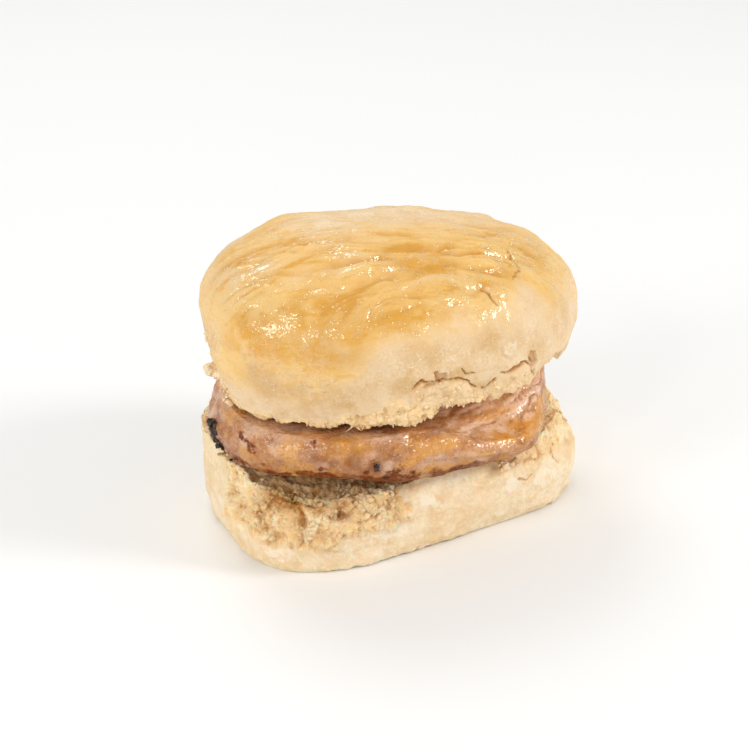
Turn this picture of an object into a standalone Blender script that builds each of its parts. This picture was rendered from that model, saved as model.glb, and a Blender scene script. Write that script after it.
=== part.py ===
"""A sausage biscuit in three solids: the top half of a split biscuit, a browned sausage patty and the bottom half.

Every solid is one closed sheet wound round the upright axis. A profile runs from the middle of its underside, out
over its edge and back to the middle of its upper side, and its radius and height change with the turn. Relief then
moves the sheet along its own normal. Lengths are millimetres until the mesh is made; the turn starts at +X (the
right end) and grows anticlockwise, so that the front is at 270 degrees.
"""

import bpy
import numpy as np

MM = 0.001
STEPS_ROUND = 88

# Bottom half: a rounded oblong with a flat base and a cut upper face
HEEL_MIDDLE = (-1.9, 1.9)
HEEL_HALF = (40.3, 31.0)
HEEL_SQUARENESS = 3.3
HEEL_BELLY = 9.0
HEEL_BASE_INSET = 3.9
HEEL_LEFT_FOOT = 2.9
HEEL_RIM_INSET = 2.0
HEEL_RIGHT_SLOPE = 3.5
TORN_FROM, TORN_TO = 184.0, 252.0

# Cut face of the bottom half, where the patty sits: high at the back and the left end, low at the front
SEAT_BACK = 20.8
SEAT_SAG = 3.6
SEAT_RIGHT_RISE = 1.2

# Patty
PATTY_MIDDLE = (-1.6, 1.4)
PATTY_HALF = (38.4, 34.4)
PATTY_SQUARENESS = 2.5
PATTY_EDGE = 2.8
PATTY_BEND = 3.4

# Face between the patty and the top half; at the right of the front the patty rounds off and the top half lifts
LID_HEIGHT = 31.2
LID_SLOPE = (0.018, 0.02)
SHOULDER_DROP = 8.0
SHOULDER_MIDDLE = (24.0, -32.0)
SHOULDER_SIZE = (26.0, 11.0)
LIP_RISE = 2.4

# Top half: an oval dome that leans down towards its right end
CROWN_MIDDLE = (1.3, -0.1)
CROWN_HALF = (43.3, 34.5)
CROWN_SQUARENESS = 1.95
CROWN_BELLY = 47.0
CROWN_TOP = 63.6
CROWN_LEAN = (-0.107, 0.022)
CROWN_LIP_INSET = 4.1
FLAP_FROM, FLAP_TO = 258.0, 306.0

GAP = 0.4

# Puts the middle of the whole plan on the origin
PLAN_SHIFT = (-1.45, -0.29, 0.0)


def blend(value, low, high):
    """0 below low, 1 above high, smooth between."""
    share = np.clip((value - low) / (high - low), 0.0, 1.0)
    return share * share * (3.0 - 2.0 * share)


def between(value, low, high, soft):
    """1 from low to high, fading over the distance soft on both sides."""
    return blend(value, low - soft, low) * (1.0 - blend(value, high, high + soft))


def near(around, middle, spread):
    """1 at a turn, fading on both sides over about spread degrees."""
    away = (around - middle + 180.0) % 360.0 - 180.0
    return np.exp(-((away / spread) ** 2))


def bump(points, middle, size):
    """A rounded bump of height 1 about a point, with one size along each axis."""
    away = (points - np.array(middle)) / np.array(size)
    return np.exp(-(away**2).sum(axis=-1))


def scatter(cell, seed):
    """A repeatable value in 0..1 for each whole-number cell."""
    i, j, k = (cell[..., axis].astype(np.int64) for axis in range(3))
    mixed = (i * 73856093) ^ (j * 19349663) ^ (k * 83492791) ^ (seed * 40503)
    mixed = ((mixed ^ (mixed >> 13)) * 1274126177) & 0xFFFFFFFF
    return ((mixed ^ (mixed >> 16)) & 0xFFFFFF) / float(0x1000000)


def lumps(points, size, seed):
    """Smooth unevenness in -1..1 whose swells are about size across."""
    place = points / np.array(size)
    cell = np.floor(place)
    part = place - cell
    part = part * part * (3.0 - 2.0 * part)
    total = np.zeros(points.shape[:-1])
    for corner in np.ndindex(2, 2, 2):
        share = np.where(np.array(corner) == 1, part, 1.0 - part).prod(axis=-1)
        total += share * scatter(cell + np.array(corner), seed)
    return 2.0 * total - 1.0


def clumps(points, size, seed):
    """Rounded grains about size across: 1 in the middle of a grain, 0 where it meets the next."""
    place = points / size
    cell = np.floor(place)
    nearest = np.full(points.shape[:-1], 9.0)
    for step in np.ndindex(3, 3, 3):
        near = cell + np.array(step) - 1.0
        grain = near + np.stack([scatter(near, seed + axis) for axis in range(3)], axis=-1)
        nearest = np.minimum(nearest, ((place - grain) ** 2).sum(axis=-1))
    return np.clip(1.0 - np.sqrt(nearest), 0.0, 1.0)


def oval(turn, half, squareness):
    """Radius of a superellipse at each turn."""
    across, along = np.abs(np.cos(turn)) / half[0], np.abs(np.sin(turn)) / half[1]
    return (across**squareness + along**squareness) ** (-1.0 / squareness)


def seat(x, y):
    """Height of the cut face of the bottom half."""
    forward = -y + 0.35 * np.minimum(x, 0.0) - 0.15 * np.maximum(x, 0.0)
    return SEAT_BACK - SEAT_SAG * blend(forward, -12.0, 18.0) + SEAT_RIGHT_RISE * blend(x, 14.0, 34.0)


def lid(x, y):
    """Height of the upper side of the patty."""
    return LID_HEIGHT + LID_SLOPE[0] * x + LID_SLOPE[1] * y


def shoulder(x, y):
    """How far the upper side of the patty rounds off below its level."""
    across = (x - SHOULDER_MIDDLE[0]) / SHOULDER_SIZE[0]
    along = (y - SHOULDER_MIDDLE[1]) / SHOULDER_SIZE[1]
    return SHOULDER_DROP * np.exp(-(across**4) - along**2)


def grid(profile_steps):
    """Turn and profile share of every vertex: one column for each turn, one row for each profile step."""
    turn = np.arange(STEPS_ROUND) * (2.0 * np.pi / STEPS_ROUND)
    return np.meshgrid(turn, np.asarray(profile_steps), indexing="xy")


def placed(radius, turn, height, middle):
    return np.stack([middle[0] + radius * np.cos(turn), middle[1] + radius * np.sin(turn), height], axis=-1)


def normals(points):
    """Outward unit normals of a wound sheet."""
    round_about = np.roll(points, -1, axis=1) - np.roll(points, 1, axis=1)
    upward = np.gradient(points, axis=0)
    outward = np.cross(round_about, upward)
    return outward / np.maximum(np.linalg.norm(outward, axis=-1, keepdims=True), 1e-9)


def degrees(turn):
    return np.degrees(turn) % 360.0


def heel_form():
    """Rows: flat base, rounded foot up to the belly, side up to the rim, cut face."""
    base = [0.25, 0.55, 0.82]
    turn, share = grid(np.concatenate([base, np.linspace(1.0, 2.0, 12), [2.12, 2.26, 2.4, 2.56, 2.74, 2.88]]))
    radius = oval(turn, HEEL_HALF, HEEL_SQUARENESS) + 0.7 * lumps(placed(30, turn, 0 * turn, (0, 0)), 16.0, 3)
    around = degrees(turn)
    radius -= 1.5 * near(around, 158.0, 20.0)
    foot = np.clip((share - 1.0) / 0.4, 0.0, 1.0) * np.pi / 2
    side = np.clip((share - 1.4) / 0.6, 0.0, 1.0)
    base_inset = HEEL_BASE_INSET - HEEL_LEFT_FOOT * near(around, 193.0, 48.0)
    rim_inset = HEEL_RIM_INSET + HEEL_RIGHT_SLOPE * near(around, 326.0, 22.0) - 1.7 * near(around, 160.0, 24.0)
    reach = radius - base_inset * (1.0 - np.sin(foot)) - rim_inset * side**2
    reach = reach * np.clip(share, 0.0, 1.0) * np.clip(3.0 - share, 0.0, 1.0)
    rim = placed(radius - rim_inset, turn, 0 * turn, HEEL_MIDDLE)
    height = HEEL_BELLY * (1.0 - np.cos(foot)) + (seat(rim[..., 0], rim[..., 1]) - HEEL_BELLY) * side
    points = placed(reach, turn, height, HEEL_MIDDLE)
    face = share > 1.99
    points[..., 2] = np.where(face, seat(points[..., 0], points[..., 1]), points[..., 2])
    return points, turn, share


def heel():
    points, turn, share = heel_form()
    outward, around = normals(points), degrees(turn)
    on_side = between(share, 1.12, 1.98, 0.1)
    torn = between(around, TORN_FROM, TORN_TO, 8.0) * between(points[..., 2], 4.0, 30.0, 4.0)
    cut_end = between(around, 300.0, 352.0, 12.0) * blend(points[..., 2], 11.0, 16.0)
    relief = 0.55 * lumps(points, 13.0, 11) + 0.3 * lumps(points, (9.0, 9.0, 4.0), 12)
    relief += torn * (2.2 * clumps(points, 5.6, 21) - 1.5 + 0.7 * lumps(points, 4.0, 24))
    relief += cut_end * (1.2 * clumps(points, 4.5, 31) - 0.8)
    relief -= 2.2 * bump(points, (-36.8, -22.8, 10.9), (5.0, 5.0, 3.0))
    relief -= 2.2 * bump(points, (-26.8, -26.7, 14.5), (6.0, 4.0, 2.6))
    points = points + outward * (relief * on_side)[..., None]
    dip = between(share, 1.99, 3.0, 0.1) * (0.25 + 0.25 * lumps(points, 6.0, 41))
    ceiling = seat(points[..., 0], points[..., 1]) - dip
    points[..., 2] = np.clip(points[..., 2], 0.0, ceiling)
    middle = seat(*HEEL_MIDDLE) - 0.3
    return points, (*HEEL_MIDDLE, 0.0), (*HEEL_MIDDLE, middle)


def patty_faces(points):
    """Heights of the underside and the upper side of the patty; the underside bends up at the left of the front."""
    x, y = points[..., 0], points[..., 1]
    bent = PATTY_BEND * bump(points * (1.0, 1.0, 0.0), (-27.0, -24.0, 0.0), (17.0, 10.0, 1.0))
    return seat(x, y) + GAP + bent, lid(x, y) - shoulder(x, y)


def patty_form():
    """Rows: underside, bulging side, upper side."""
    turn, share = grid(np.concatenate([[0.3, 0.6, 0.84], np.linspace(1.0, 2.0, 11), [2.14, 2.3, 2.5, 2.75]]))
    radius = oval(turn, PATTY_HALF, PATTY_SQUARENESS) + 0.8 * lumps(placed(30, turn, 0 * turn, (0, 0)), 15.0, 6)
    around = degrees(turn)
    radius += 1.2 * near(around, 198.0, 16.0) - 2.8 * near(around, 328.0, 26.0) - 2.0 * near(around, 140.0, 22.0)
    side = np.clip(share - 1.0, 0.0, 1.0)
    lower = blend(side, 0.75, 0.35)
    upright = 1.0 - 0.9 * near(around, 190.0, 24.0) * lower
    reach = radius - PATTY_EDGE * upright * np.abs(2.0 * side - 1.0) ** 2.6 + 1.7 * near(around, 168.0, 20.0) * lower
    reach = reach * np.clip(share, 0.0, 1.0) * np.clip(3.0 - share, 0.0, 1.0)
    points = placed(reach, turn, 0 * turn, PATTY_MIDDLE)
    low, high = patty_faces(points)
    points[..., 2] = low + (high - low) * side
    return points, turn, share


def patty():
    points, turn, share = patty_form()
    outward, around = normals(points), degrees(turn)
    on_side = between(share, 1.1, 1.9, 0.1)
    relief = 0.8 * lumps(points, (9.0, 9.0, 6.0), 51) + 0.5 * lumps(points, 4.5, 52)
    relief -= 1.1 * blend(clumps(points, 7.5, 55), 0.25, 0.0)
    relief -= 1.0 * bump(points, (-17.9, -30.3, 21.6), (2.5, 4.0, 2.0))
    relief += 0.9 * between(around, 262.0, 300.0, 12.0) * between(share, 1.55, 1.8, 0.15)
    points = points + outward * (relief * on_side)[..., None]
    low, high = patty_faces(points)
    high = high - between(share, 1.8, 3.0, 0.1) * (0.3 + 0.3 * lumps(points, 5.0, 58))
    points[..., 2] = np.clip(points[..., 2], low, high)
    under, over = seat(*PATTY_MIDDLE) + GAP, lid(*PATTY_MIDDLE) - 0.3
    return points, (*PATTY_MIDDLE, under), (*PATTY_MIDDLE, over)


def crown_form():
    """Rows: cut underside, side up to the belly, dome."""
    steps = np.concatenate([[0.3, 0.6, 0.84], np.linspace(1.0, 2.0, 10), 2.0 + np.linspace(0.07, 0.93, 16)])
    turn, share = grid(steps)
    radius = oval(turn, CROWN_HALF, CROWN_SQUARENESS) + 0.5 * lumps(placed(30, turn, 0 * turn, (0, 0)), 14.0, 9)
    side = np.clip(2.0 - share, 0.0, 1.0)
    rise = np.sin(np.clip(share - 2.0, 0.0, 1.0) * np.pi / 2)
    undercut = near(degrees(turn), 318.0, 30.0)
    inset = (CROWN_LIP_INSET + 2.0 * undercut) * side ** (1.8 + 2.2 * undercut)
    reach = (radius - inset) * (1.0 - rise**2.25) ** (1.0 / 2.3) * np.clip(share, 0.0, 1.0)
    points = placed(reach, turn, 0 * turn, CROWN_MIDDLE)
    lip = lid(points[..., 0], points[..., 1]) + GAP
    lean = CROWN_LEAN[0] * reach * np.cos(turn) + CROWN_LEAN[1] * reach * np.sin(turn)
    belly = CROWN_BELLY + lean
    points[..., 2] = np.where(share <= 2.0, belly + (lip - belly) * side, belly + (CROWN_TOP - CROWN_BELLY) * rise)
    return points, turn, share


def creases(points):
    """Long shallow folds over the dome that run to the right and forward, and level off near the front edge."""
    x, y = points[..., 0], points[..., 1]
    across = y + 0.33 * x * (0.1 + 0.9 * blend(y, -25.0, -8.0)) + 2.2 * lumps(points, 14.0, 91)
    fold = 1.0 - np.abs(lumps(np.stack([x / 28.0, across / 6.0, 0.0 * x], axis=-1), 1.0, 62))
    return blend(points[..., 2], 53.0, 58.0) * blend(-y, -24.0, -4.0) * (0.3 - fold**3)


def flap(points, around):
    """A lobe on the front wall with a broken edge above it, and the opening behind that edge."""
    low_edge = 38.5 + 2.2 * lumps(points, 6.0, 71)
    lobe = between(around, FLAP_FROM, FLAP_TO, 5.0) * between(points[..., 2], 30.0, low_edge, 1.8)
    opening = 2.4 * bump(points, (12.8, -32.6, 40.4), (5.0, 6.0, 1.8))
    notch = 1.8 * bump(points, (-7.0, -33.3, 40.8), (1.8, 6.0, 3.4))
    flake = 1.4 * bump(points, (-3.6, -34.0, 44.0), (2.6, 6.0, 2.4))
    return 1.5 * lobe - opening - notch + flake


def crown():
    points, turn, share = crown_form()
    outward, around = normals(points), degrees(turn)
    on_side = blend(share, 1.05, 1.25)
    relief = 0.9 * lumps(points, 17.0, 81) + 0.45 * lumps(points, 7.0, 82)
    relief += 0.9 * creases(points) + flap(points, around)
    relief += 0.8 * bump(points, (12.0, -28.7, 55.2), (4.0, 4.0, 4.0))
    relief -= 1.2 * near(around, 150.0, 22.0) * between(points[..., 2], 54.0, 62.0, 4.0)
    relief -= 1.3 * between(around, 150.0, 186.0, 5.0) * between(points[..., 2], 30.0, 46.0, 3.0)
    relief += between(around, 150.0, 262.0, 8.0) * between(points[..., 2], 30.0, 35.0, 2.5) * (
        1.6 * clumps(points, 5.0, 85) - 0.6
    )
    points = points + outward * (relief * on_side)[..., None]
    lifted = LIP_RISE * between(around, 262.0, 332.0, 10.0) + 0.6 + 0.6 * lumps(points, 4.0, 88)
    lifted += 1.8 * near(around, 255.0, 7.0) + 3.0 * near(around, 309.0, 11.0)
    floor = lid(points[..., 0], points[..., 1]) + GAP + blend(share, 0.8, 1.0) * lifted
    points[..., 2] = np.maximum(points[..., 2], floor)
    top = CROWN_TOP + 0.9 * lumps(np.array([*CROWN_MIDDLE, CROWN_TOP]), 17.0, 81)
    return points, (*CROWN_MIDDLE, lid(*CROWN_MIDDLE) + GAP), (*CROWN_MIDDLE, top)


def sheet_faces(rows, columns):
    """Quads between the rows, and a fan at each pole; the last two vertices are the poles."""
    row, column = np.meshgrid(np.arange(rows - 1), np.arange(columns), indexing="ij")
    onward = (column + 1) % columns
    quads = [row * columns + column, row * columns + onward, (row + 1) * columns + onward, (row + 1) * columns + column]
    faces = np.stack(quads, axis=-1).reshape(-1, 4).tolist()
    low, high, last = rows * columns, rows * columns + 1, (rows - 1) * columns
    for step in range(columns):
        after = (step + 1) % columns
        faces += [[low, after, step], [high, last + step, last + after]]
    return faces


def made(name, sheet, material):
    points, low, high = sheet
    rows, columns = points.shape[:2]
    vertices = (np.concatenate([points.reshape(-1, 3), [low, high]]) + PLAN_SHIFT) * MM
    mesh = bpy.data.meshes.new(name)
    mesh.from_pydata(vertices.tolist(), [], sheet_faces(rows, columns))
    mesh.shade_smooth()
    mesh.materials.append(material)
    mesh.update()
    piece = bpy.data.objects.new(name, mesh)
    bpy.context.collection.objects.link(piece)
    return piece


def matter(name, colour, roughness):
    material = bpy.data.materials.new(name)
    material.use_nodes = True
    shader = material.node_tree.nodes["Principled BSDF"]
    shader.inputs["Base Color"].default_value = (*colour, 1.0)
    shader.inputs["Roughness"].default_value = roughness
    return material


def clear():
    for item in list(bpy.data.objects):
        bpy.data.objects.remove(item, do_unlink=True)


def main():
    clear()
    made("biscuit_bottom", heel(), matter("pale crumb", (0.78, 0.58, 0.33), 0.8))
    made("sausage_patty", patty(), matter("browned sausage", (0.42, 0.19, 0.10), 0.4))
    made("biscuit_top", crown(), matter("golden crust", (0.76, 0.47, 0.18), 0.5))


main()
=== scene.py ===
"""Looks of a sausage biscuit: a split golden biscuit with a browned sausage patty between its halves.

Lengths in the shape functions are millimetres and become metres when a mesh is made. Every big
surface is one closed sheet wound round the upright axis: the turn starts at +X (the right end) and
grows anticlockwise, so that the front is at 270 degrees, and a profile share runs from the middle of
the underside (0) over the edge (1 to 2) to the middle of the upper side (3).
"""

import math

import bpy
import numpy as np
from bpy.props import FloatProperty, FloatVectorProperty, IntProperty, PointerProperty
from mathutils import Matrix, Vector


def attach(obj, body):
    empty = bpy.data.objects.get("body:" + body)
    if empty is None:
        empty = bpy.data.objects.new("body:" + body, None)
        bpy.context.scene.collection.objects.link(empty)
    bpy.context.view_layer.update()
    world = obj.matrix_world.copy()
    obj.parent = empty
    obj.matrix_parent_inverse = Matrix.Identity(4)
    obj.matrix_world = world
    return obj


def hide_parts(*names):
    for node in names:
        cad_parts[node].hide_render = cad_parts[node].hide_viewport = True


bl_info = {
    "name": "Sausage Biscuit",
    "version": (1, 0, 0),
    "blender": (4, 5, 0),
    "location": "3D View > Sidebar > Biscuit",
    "description": "Bakes, fries and sets out a sausage biscuit piece by piece",
    "category": "Object",
}

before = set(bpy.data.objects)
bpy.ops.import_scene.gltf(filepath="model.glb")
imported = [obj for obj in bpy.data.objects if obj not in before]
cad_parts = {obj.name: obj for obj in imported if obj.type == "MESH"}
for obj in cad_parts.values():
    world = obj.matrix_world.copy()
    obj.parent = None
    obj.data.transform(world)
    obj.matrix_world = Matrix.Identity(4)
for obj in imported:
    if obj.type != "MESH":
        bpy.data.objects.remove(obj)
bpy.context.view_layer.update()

TAU = 2.0 * math.pi
# A millimetre in metres, the gap between two pieces and the move that centres the biscuit in plan
MM = 0.001
GAP = 0.4
PLAN_SHIFT = np.array((-1.45, -0.29, 0.0))
# Columns of each wound sheet
COLUMNS = 620


# --------------------------------------------------------------------------------------------------
# Numbers on arrays


def blend(value, low, high):
    """0 below low, 1 above high, smooth between: 3s^2 - 2s^3 of the share s."""
    share = held((value - low) / (high - low))
    return share * share * (3.0 - 2.0 * share)


def between(value, low, high, soft):
    """1 from low to high, fading over the distance soft on both sides."""
    return blend(value, low - soft, low) * (1.0 - blend(value, high, high + soft))


def held(value):
    """Held between 0 and 1."""
    return np.clip(value, 0.0, 1.0)


def near(around, middle, spread):
    """1 at a turn, fading on both sides over about spread degrees: e to the minus squared share."""
    away = (around - middle + 180.0) % 360.0 - 180.0
    return np.exp(-((away / spread) ** 2))


def bump(points, middle, size):
    """1 at a point, rounded off about it: e to the minus squared distance, sized along each axis."""
    away = (points - np.array(middle)) / np.array(size)
    return np.exp(-(away**2).sum(axis=-1))


def bumps(points, marks):
    """The strongest of several bumps, each a row of its middle x, y, z and its sizes along them."""
    return np.max([bump(points, mark[:3], mark[3:]) for mark in marks], axis=0)


def scatter(cell, seed):
    """A repeatable value in 0..1 for each whole-number cell."""
    i, j, k = (cell[..., axis].astype(np.int64) for axis in range(3))
    mixed = (i * 73856093) ^ (j * 19349663) ^ (k * 83492791) ^ (seed * 40503)
    mixed = ((mixed ^ (mixed >> 13)) * 1274126177) & 0xFFFFFFFF
    return ((mixed ^ (mixed >> 16)) & 0xFFFFFF) / float(0x1000000)


def lumps(points, size, seed):
    """Smooth unevenness in -1..1, its swells about size across: cell values, blended at the corners."""
    place = points / np.array(size)
    cell = np.floor(place)
    part = place - cell
    part = part * part * (3.0 - 2.0 * part)
    total = np.zeros(points.shape[:-1])
    for corner in np.ndindex(2, 2, 2):
        share = np.where(np.array(corner) == 1, part, 1.0 - part).prod(axis=-1)
        total += share * scatter(cell + np.array(corner), seed)
    return 2.0 * total - 1.0


def rough(points, size, seed, octaves=3):
    """Lumps on lumps: each octave half as large and half as high as the one before."""
    size = np.array(size, float)
    return sum(lumps(points, size / 2**step, seed + step) / 2**step for step in range(octaves))


def patchy(points, size, seed, low, high, octaves=3):
    """Patches: rough noise blended from 0 at low to 1 at high."""
    return blend(rough(points, size, seed, octaves), low, high)


def clumps(points, size, seed):
    """Rounded grains about size across: 1 in the middle of a grain, 0 where it meets the next."""
    place = points / size
    cell = np.floor(place)
    nearest = np.full(points.shape[:-1], 9.0)
    for step in np.ndindex(3, 3, 3):
        beside = cell + np.array(step) - 1.0
        grain = beside + np.stack([scatter(beside, seed + axis) for axis in range(3)], axis=-1)
        nearest = np.minimum(nearest, ((place - grain) ** 2).sum(axis=-1))
    return held(1.0 - np.sqrt(nearest))


def shaken(points, size, far, seed):
    """The points moved about by up to far, with swells of the given size along each axis."""
    return points + far * np.stack([lumps(points, size, seed + axis) for axis in range(3)], axis=-1)


def crumbly(points, size, seed):
    """Torn bread: warped round grains with pinched gaps, each set half as large as the one before, 0..1."""
    warped = shaken(points, size * 0.6, size * 0.28, seed)
    gaps = (
        np.minimum((1.0 - clumps(warped, size / 2**step, seed + 5 * step)) / 0.8, 1.0) for step in range(3)
    )
    return sum((1.0 - gap**2) / 1.9**step for step, gap in enumerate(gaps)) / 1.8


def line_distance(points, path):
    """Distance of every point to a line through the given corners."""
    nearest = np.full(points.shape[:-1], 1e9)
    corners = np.array(path, float)
    for start, end in zip(corners[:-1], corners[1:]):
        along = end - start
        share = held(((points - start) @ along) / (along @ along))
        away = points - (start + share[..., None] * along)
        nearest = np.minimum(nearest, (away**2).sum(axis=-1))
    return np.sqrt(nearest)


def crack(points, path, width):
    """1 on a line that wanders, 0 beyond its width, which varies along it. Depth behind the line
    counts little: on a wall the y axis is pressed flat, on the dome the z axis."""
    flat = np.array((1.0, 0.15, 1.0) if path[0][2] < 50.0 else (1.0, 1.0, 0.15))
    wide = width * (1.0 + 0.6 * lumps(points, 2.2, 8))
    wandering = shaken(shaken(points, 2.6, 0.6, 5), 0.9, 0.25, 9)
    reach = line_distance(wandering * flat, np.array(path) * flat)
    return (
        (1.0 - blend(reach, 0.2 * wide, wide))
        * bump(points, np.mean(path, axis=0), (25.0, 12.0, 16.0)) ** 0.1
    )


def oval(turn, half, squareness):
    """Radius of a superellipse at each turn."""
    across, along = np.abs(np.cos(turn)) / half[0], np.abs(np.sin(turn)) / half[1]
    return (across**squareness + along**squareness) ** (-1.0 / squareness)


def degrees(turn):
    """The turn in degrees, 0 to 360."""
    return np.degrees(turn) % 360.0


def turn_about(points, middle):
    """Where points stand about a middle in plan, in degrees from +X."""
    return degrees(np.arctan2(points[..., 1] - middle[1], points[..., 0] - middle[0]))


def even_steps(path, shares, count):
    """Profile shares that lie evenly along a profile drawn as points."""
    length = np.concatenate([[0.0], np.cumsum(np.linalg.norm(np.diff(path, axis=0), axis=1))])
    return np.interp(np.linspace(0.0, length[-1], count), length, shares)


def placed(radius, turn, height, middle):
    """Points at a radius, turn and height about a middle in plan."""
    return np.stack([middle[0] + radius * np.cos(turn), middle[1] + radius * np.sin(turn), height], axis=-1)


def lumps_round(turn, size, seed):
    """Unevenness of a radius all the way round: lumps along a circle of 30 millimetres."""
    return lumps(placed(30, turn, 0 * turn, (0, 0)), size, seed)


def normals(points):
    """Outward unit normals of a wound sheet: the cross product of its two directions."""
    around = np.roll(points, -1, axis=1) - np.roll(points, 1, axis=1)
    upward = np.gradient(points, axis=0)
    outward = np.cross(around, upward)
    return outward / np.maximum(np.linalg.norm(outward, axis=-1, keepdims=True), 1e-9)


def wound(rows, front=250.0):
    """Turn and profile share of every vertex of a sheet, whose columns stand closest about the front."""
    even = np.arange(COLUMNS) * (TAU / COLUMNS)
    turn = even + 0.5 * np.sin(even - np.radians(front - 180.0))
    return np.meshgrid(turn, rows, indexing="xy")


# --------------------------------------------------------------------------------------------------
# Sizes and colours a user would change


def length(label, text, value):
    return FloatProperty(name=label, description=text, default=value, unit="LENGTH", subtype="DISTANCE")


def plan(label, text, values):
    return FloatVectorProperty(
        name=label, description=text, default=values, size=2, unit="LENGTH", subtype="XYZ_LENGTH"
    )


def colour(label, text, values):
    return FloatVectorProperty(
        name=label, description=text, default=values, size=3, subtype="COLOR", min=0.0, max=1.0
    )


class BiscuitSizes(bpy.types.PropertyGroup):
    heel_half: plan(
        "Bottom half size", "Half the length and half the depth of the bottom half", (0.0403, 0.031)
    )
    heel_middle: plan("Bottom half place", "Middle of the bottom half in plan", (-0.0019, 0.0019))
    heel_belly: length("Bottom half belly", "Height at which the bottom half is widest", 0.009)
    seat_back: length("Cut face height", "Height of the cut face at the back", 0.0208)
    seat_sag: length("Cut face sag", "How far the cut face drops towards the front", 0.0036)
    patty_half: plan("Patty size", "Half the length and half the depth of the patty", (0.0384, 0.0344))
    patty_middle: plan("Patty place", "Middle of the patty in plan", (-0.0016, 0.0014))
    patty_top: length("Patty top", "Height of the upper side of the patty", 0.0312)
    crown_half: plan(
        "Top half size", "Half the length and half the depth of the top half", (0.0433, 0.0345)
    )
    crown_middle: plan("Top half place", "Middle of the top half in plan", (0.0013, -0.0001))
    crown_belly: length("Top half belly", "Height at which the top half is widest", 0.047)
    crown_top: length("Top of the dome", "Height of the dome over the surface it stands on", 0.0636)
    crumb_count: IntProperty(
        name="Loose crumbs", description="Crumbs on the torn bread", default=1200, min=0, max=2400
    )
    thread_count: IntProperty(
        name="Threads", description="Threads on the torn lip of the top half", default=34, min=0, max=400
    )


class BiscuitColours(bpy.types.PropertyGroup):
    crust_pale: colour("Pale crust", "Crust that has only dried", (0.79, 0.60, 0.385))
    crust_gold: colour("Golden crust", "Baked, buttered crust", (0.80, 0.485, 0.148))
    crust_deep: colour("Deep crust", "The most baked patches", (0.68, 0.345, 0.055))
    crumb_cream: colour("Crumb", "Bread inside the crust", (0.88, 0.59, 0.28))
    # This colour also serves as painted shade under the patty's front edge
    crumb_shade: colour("Greased crumb", "Crumb that has taken up fat", (0.42, 0.18, 0.05))
    flour_white: colour("Flour", "Flour dusted on the crust", (0.87, 0.76, 0.58))
    meat_tan: colour("Meat", "Cooked sausage", (0.47, 0.19, 0.062))
    meat_pink: colour("Pink meat", "Paler, pinker meat", (0.92, 0.66, 0.50))
    meat_amber: colour("Amber fat", "Fat that shows through the skin of the patty", (0.72, 0.28, 0.035))
    meat_brown: colour("Browned meat", "Fried edges and specks", (0.17, 0.034, 0.004))
    char_black: colour("Char", "Burnt meat", (0.022, 0.014, 0.010))


def sizes():
    return bpy.context.scene.biscuit_sizes


def mm(value):
    """A length or a pair of lengths in millimetres."""
    return np.array(value) / MM if hasattr(value, "__len__") else value / MM


# --------------------------------------------------------------------------------------------------
# Faces that the three pieces share


def seat(x, y):
    """Height of the cut face of the bottom half: high at the back and the left end, low at the front."""
    size = sizes()
    forward = -y + 0.35 * np.minimum(x, 0.0) - 0.15 * np.maximum(x, 0.0)
    return mm(size.seat_back) - mm(size.seat_sag) * blend(forward, -12.0, 18.0) + 1.2 * blend(x, 14.0, 34.0)


def lid(x, y):
    """Height of the upper side of the patty, before it rounds off."""
    return mm(sizes().patty_top) + 0.018 * x + 0.02 * y


def shoulder(x, y):
    """How far the upper side of the patty rounds off below that, at the right of the front."""
    across, along = (x - 24.0) / 26.0, (y + 32.0) / 11.0
    return 8.0 * np.exp(-(across**4) - along**2)


# --------------------------------------------------------------------------------------------------
# Top half

# Cracks in the front wall and in the dome, each with its half width
CROWN_CRACKS = (
    ([(-1.4, -34.6, 43.6), (-0.4, -34.5, 42.2), (1.6, -34.3, 41.4)], 0.2),
    ([(15.2, -32, 40.6), (16.6, -33, 39.4), (16, -33.2, 37.2)], 0.35),
    ([(3, -34.4, 37.6), (2, -34.4, 36.4), (2.8, -34.4, 34.8)], 0.22),
    ([(20.6, -15, 58.6), (20, -19, 57.4), (20.8, -21.4, 56.4), (17.4, -24.2, 55.9)], 0.24),
    ([(7.4, -26.6, 56.6), (8.7, -29, 55.2), (9.4, -31, 53.4)], 0.2),
)

# The long crack over the lobes of the front wall: its turn in degrees and its height
LOBE_CRACK = (
    (247.0, 250.6, 254.5, 257.6, 260.0, 262.5, 264.3, 266.5, 268.5, 270.7, 272.7,
     275.2, 277.5, 279.5, 281.5, 285.1, 288.8, 291.5, 293.2, 294.6, 297.0),
    (40.6, 41.4, 41.7, 41.1, 41.6, 41.0, 41.2, 40.5, 39.7, 38.4, 37.4,
     36.5, 37.2, 38.5, 39.2, 39.8, 40.2, 40.2, 39.6, 38.2, 36.8),
)

# The three longest creases over the dome, each with its half width
LONG_CREASES = (
    (
        [
            (-29.6, 1.4, 62.2), (-18.8, -6.7, 64.1), (-11.6, -11.4, 64), (-3.6, -13.8, 63),
            (11.1, -17.6, 60.5),
        ],
        1.3,
    ),
    ([(-35, -5.9, 60), (-26, -13.1, 62.8), (-17.6, -14.5, 63.5), (0, -15.8, 62.3)], 1.1),
    (
        [
            (-31, -23.4, 54.6), (-23.7, -22.7, 59.1), (-16.5, -21.2, 61.3), (-11.8, -20.6, 62),
            (4.2, -22.9, 59.2),
        ],
        2,
    ),
)

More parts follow.
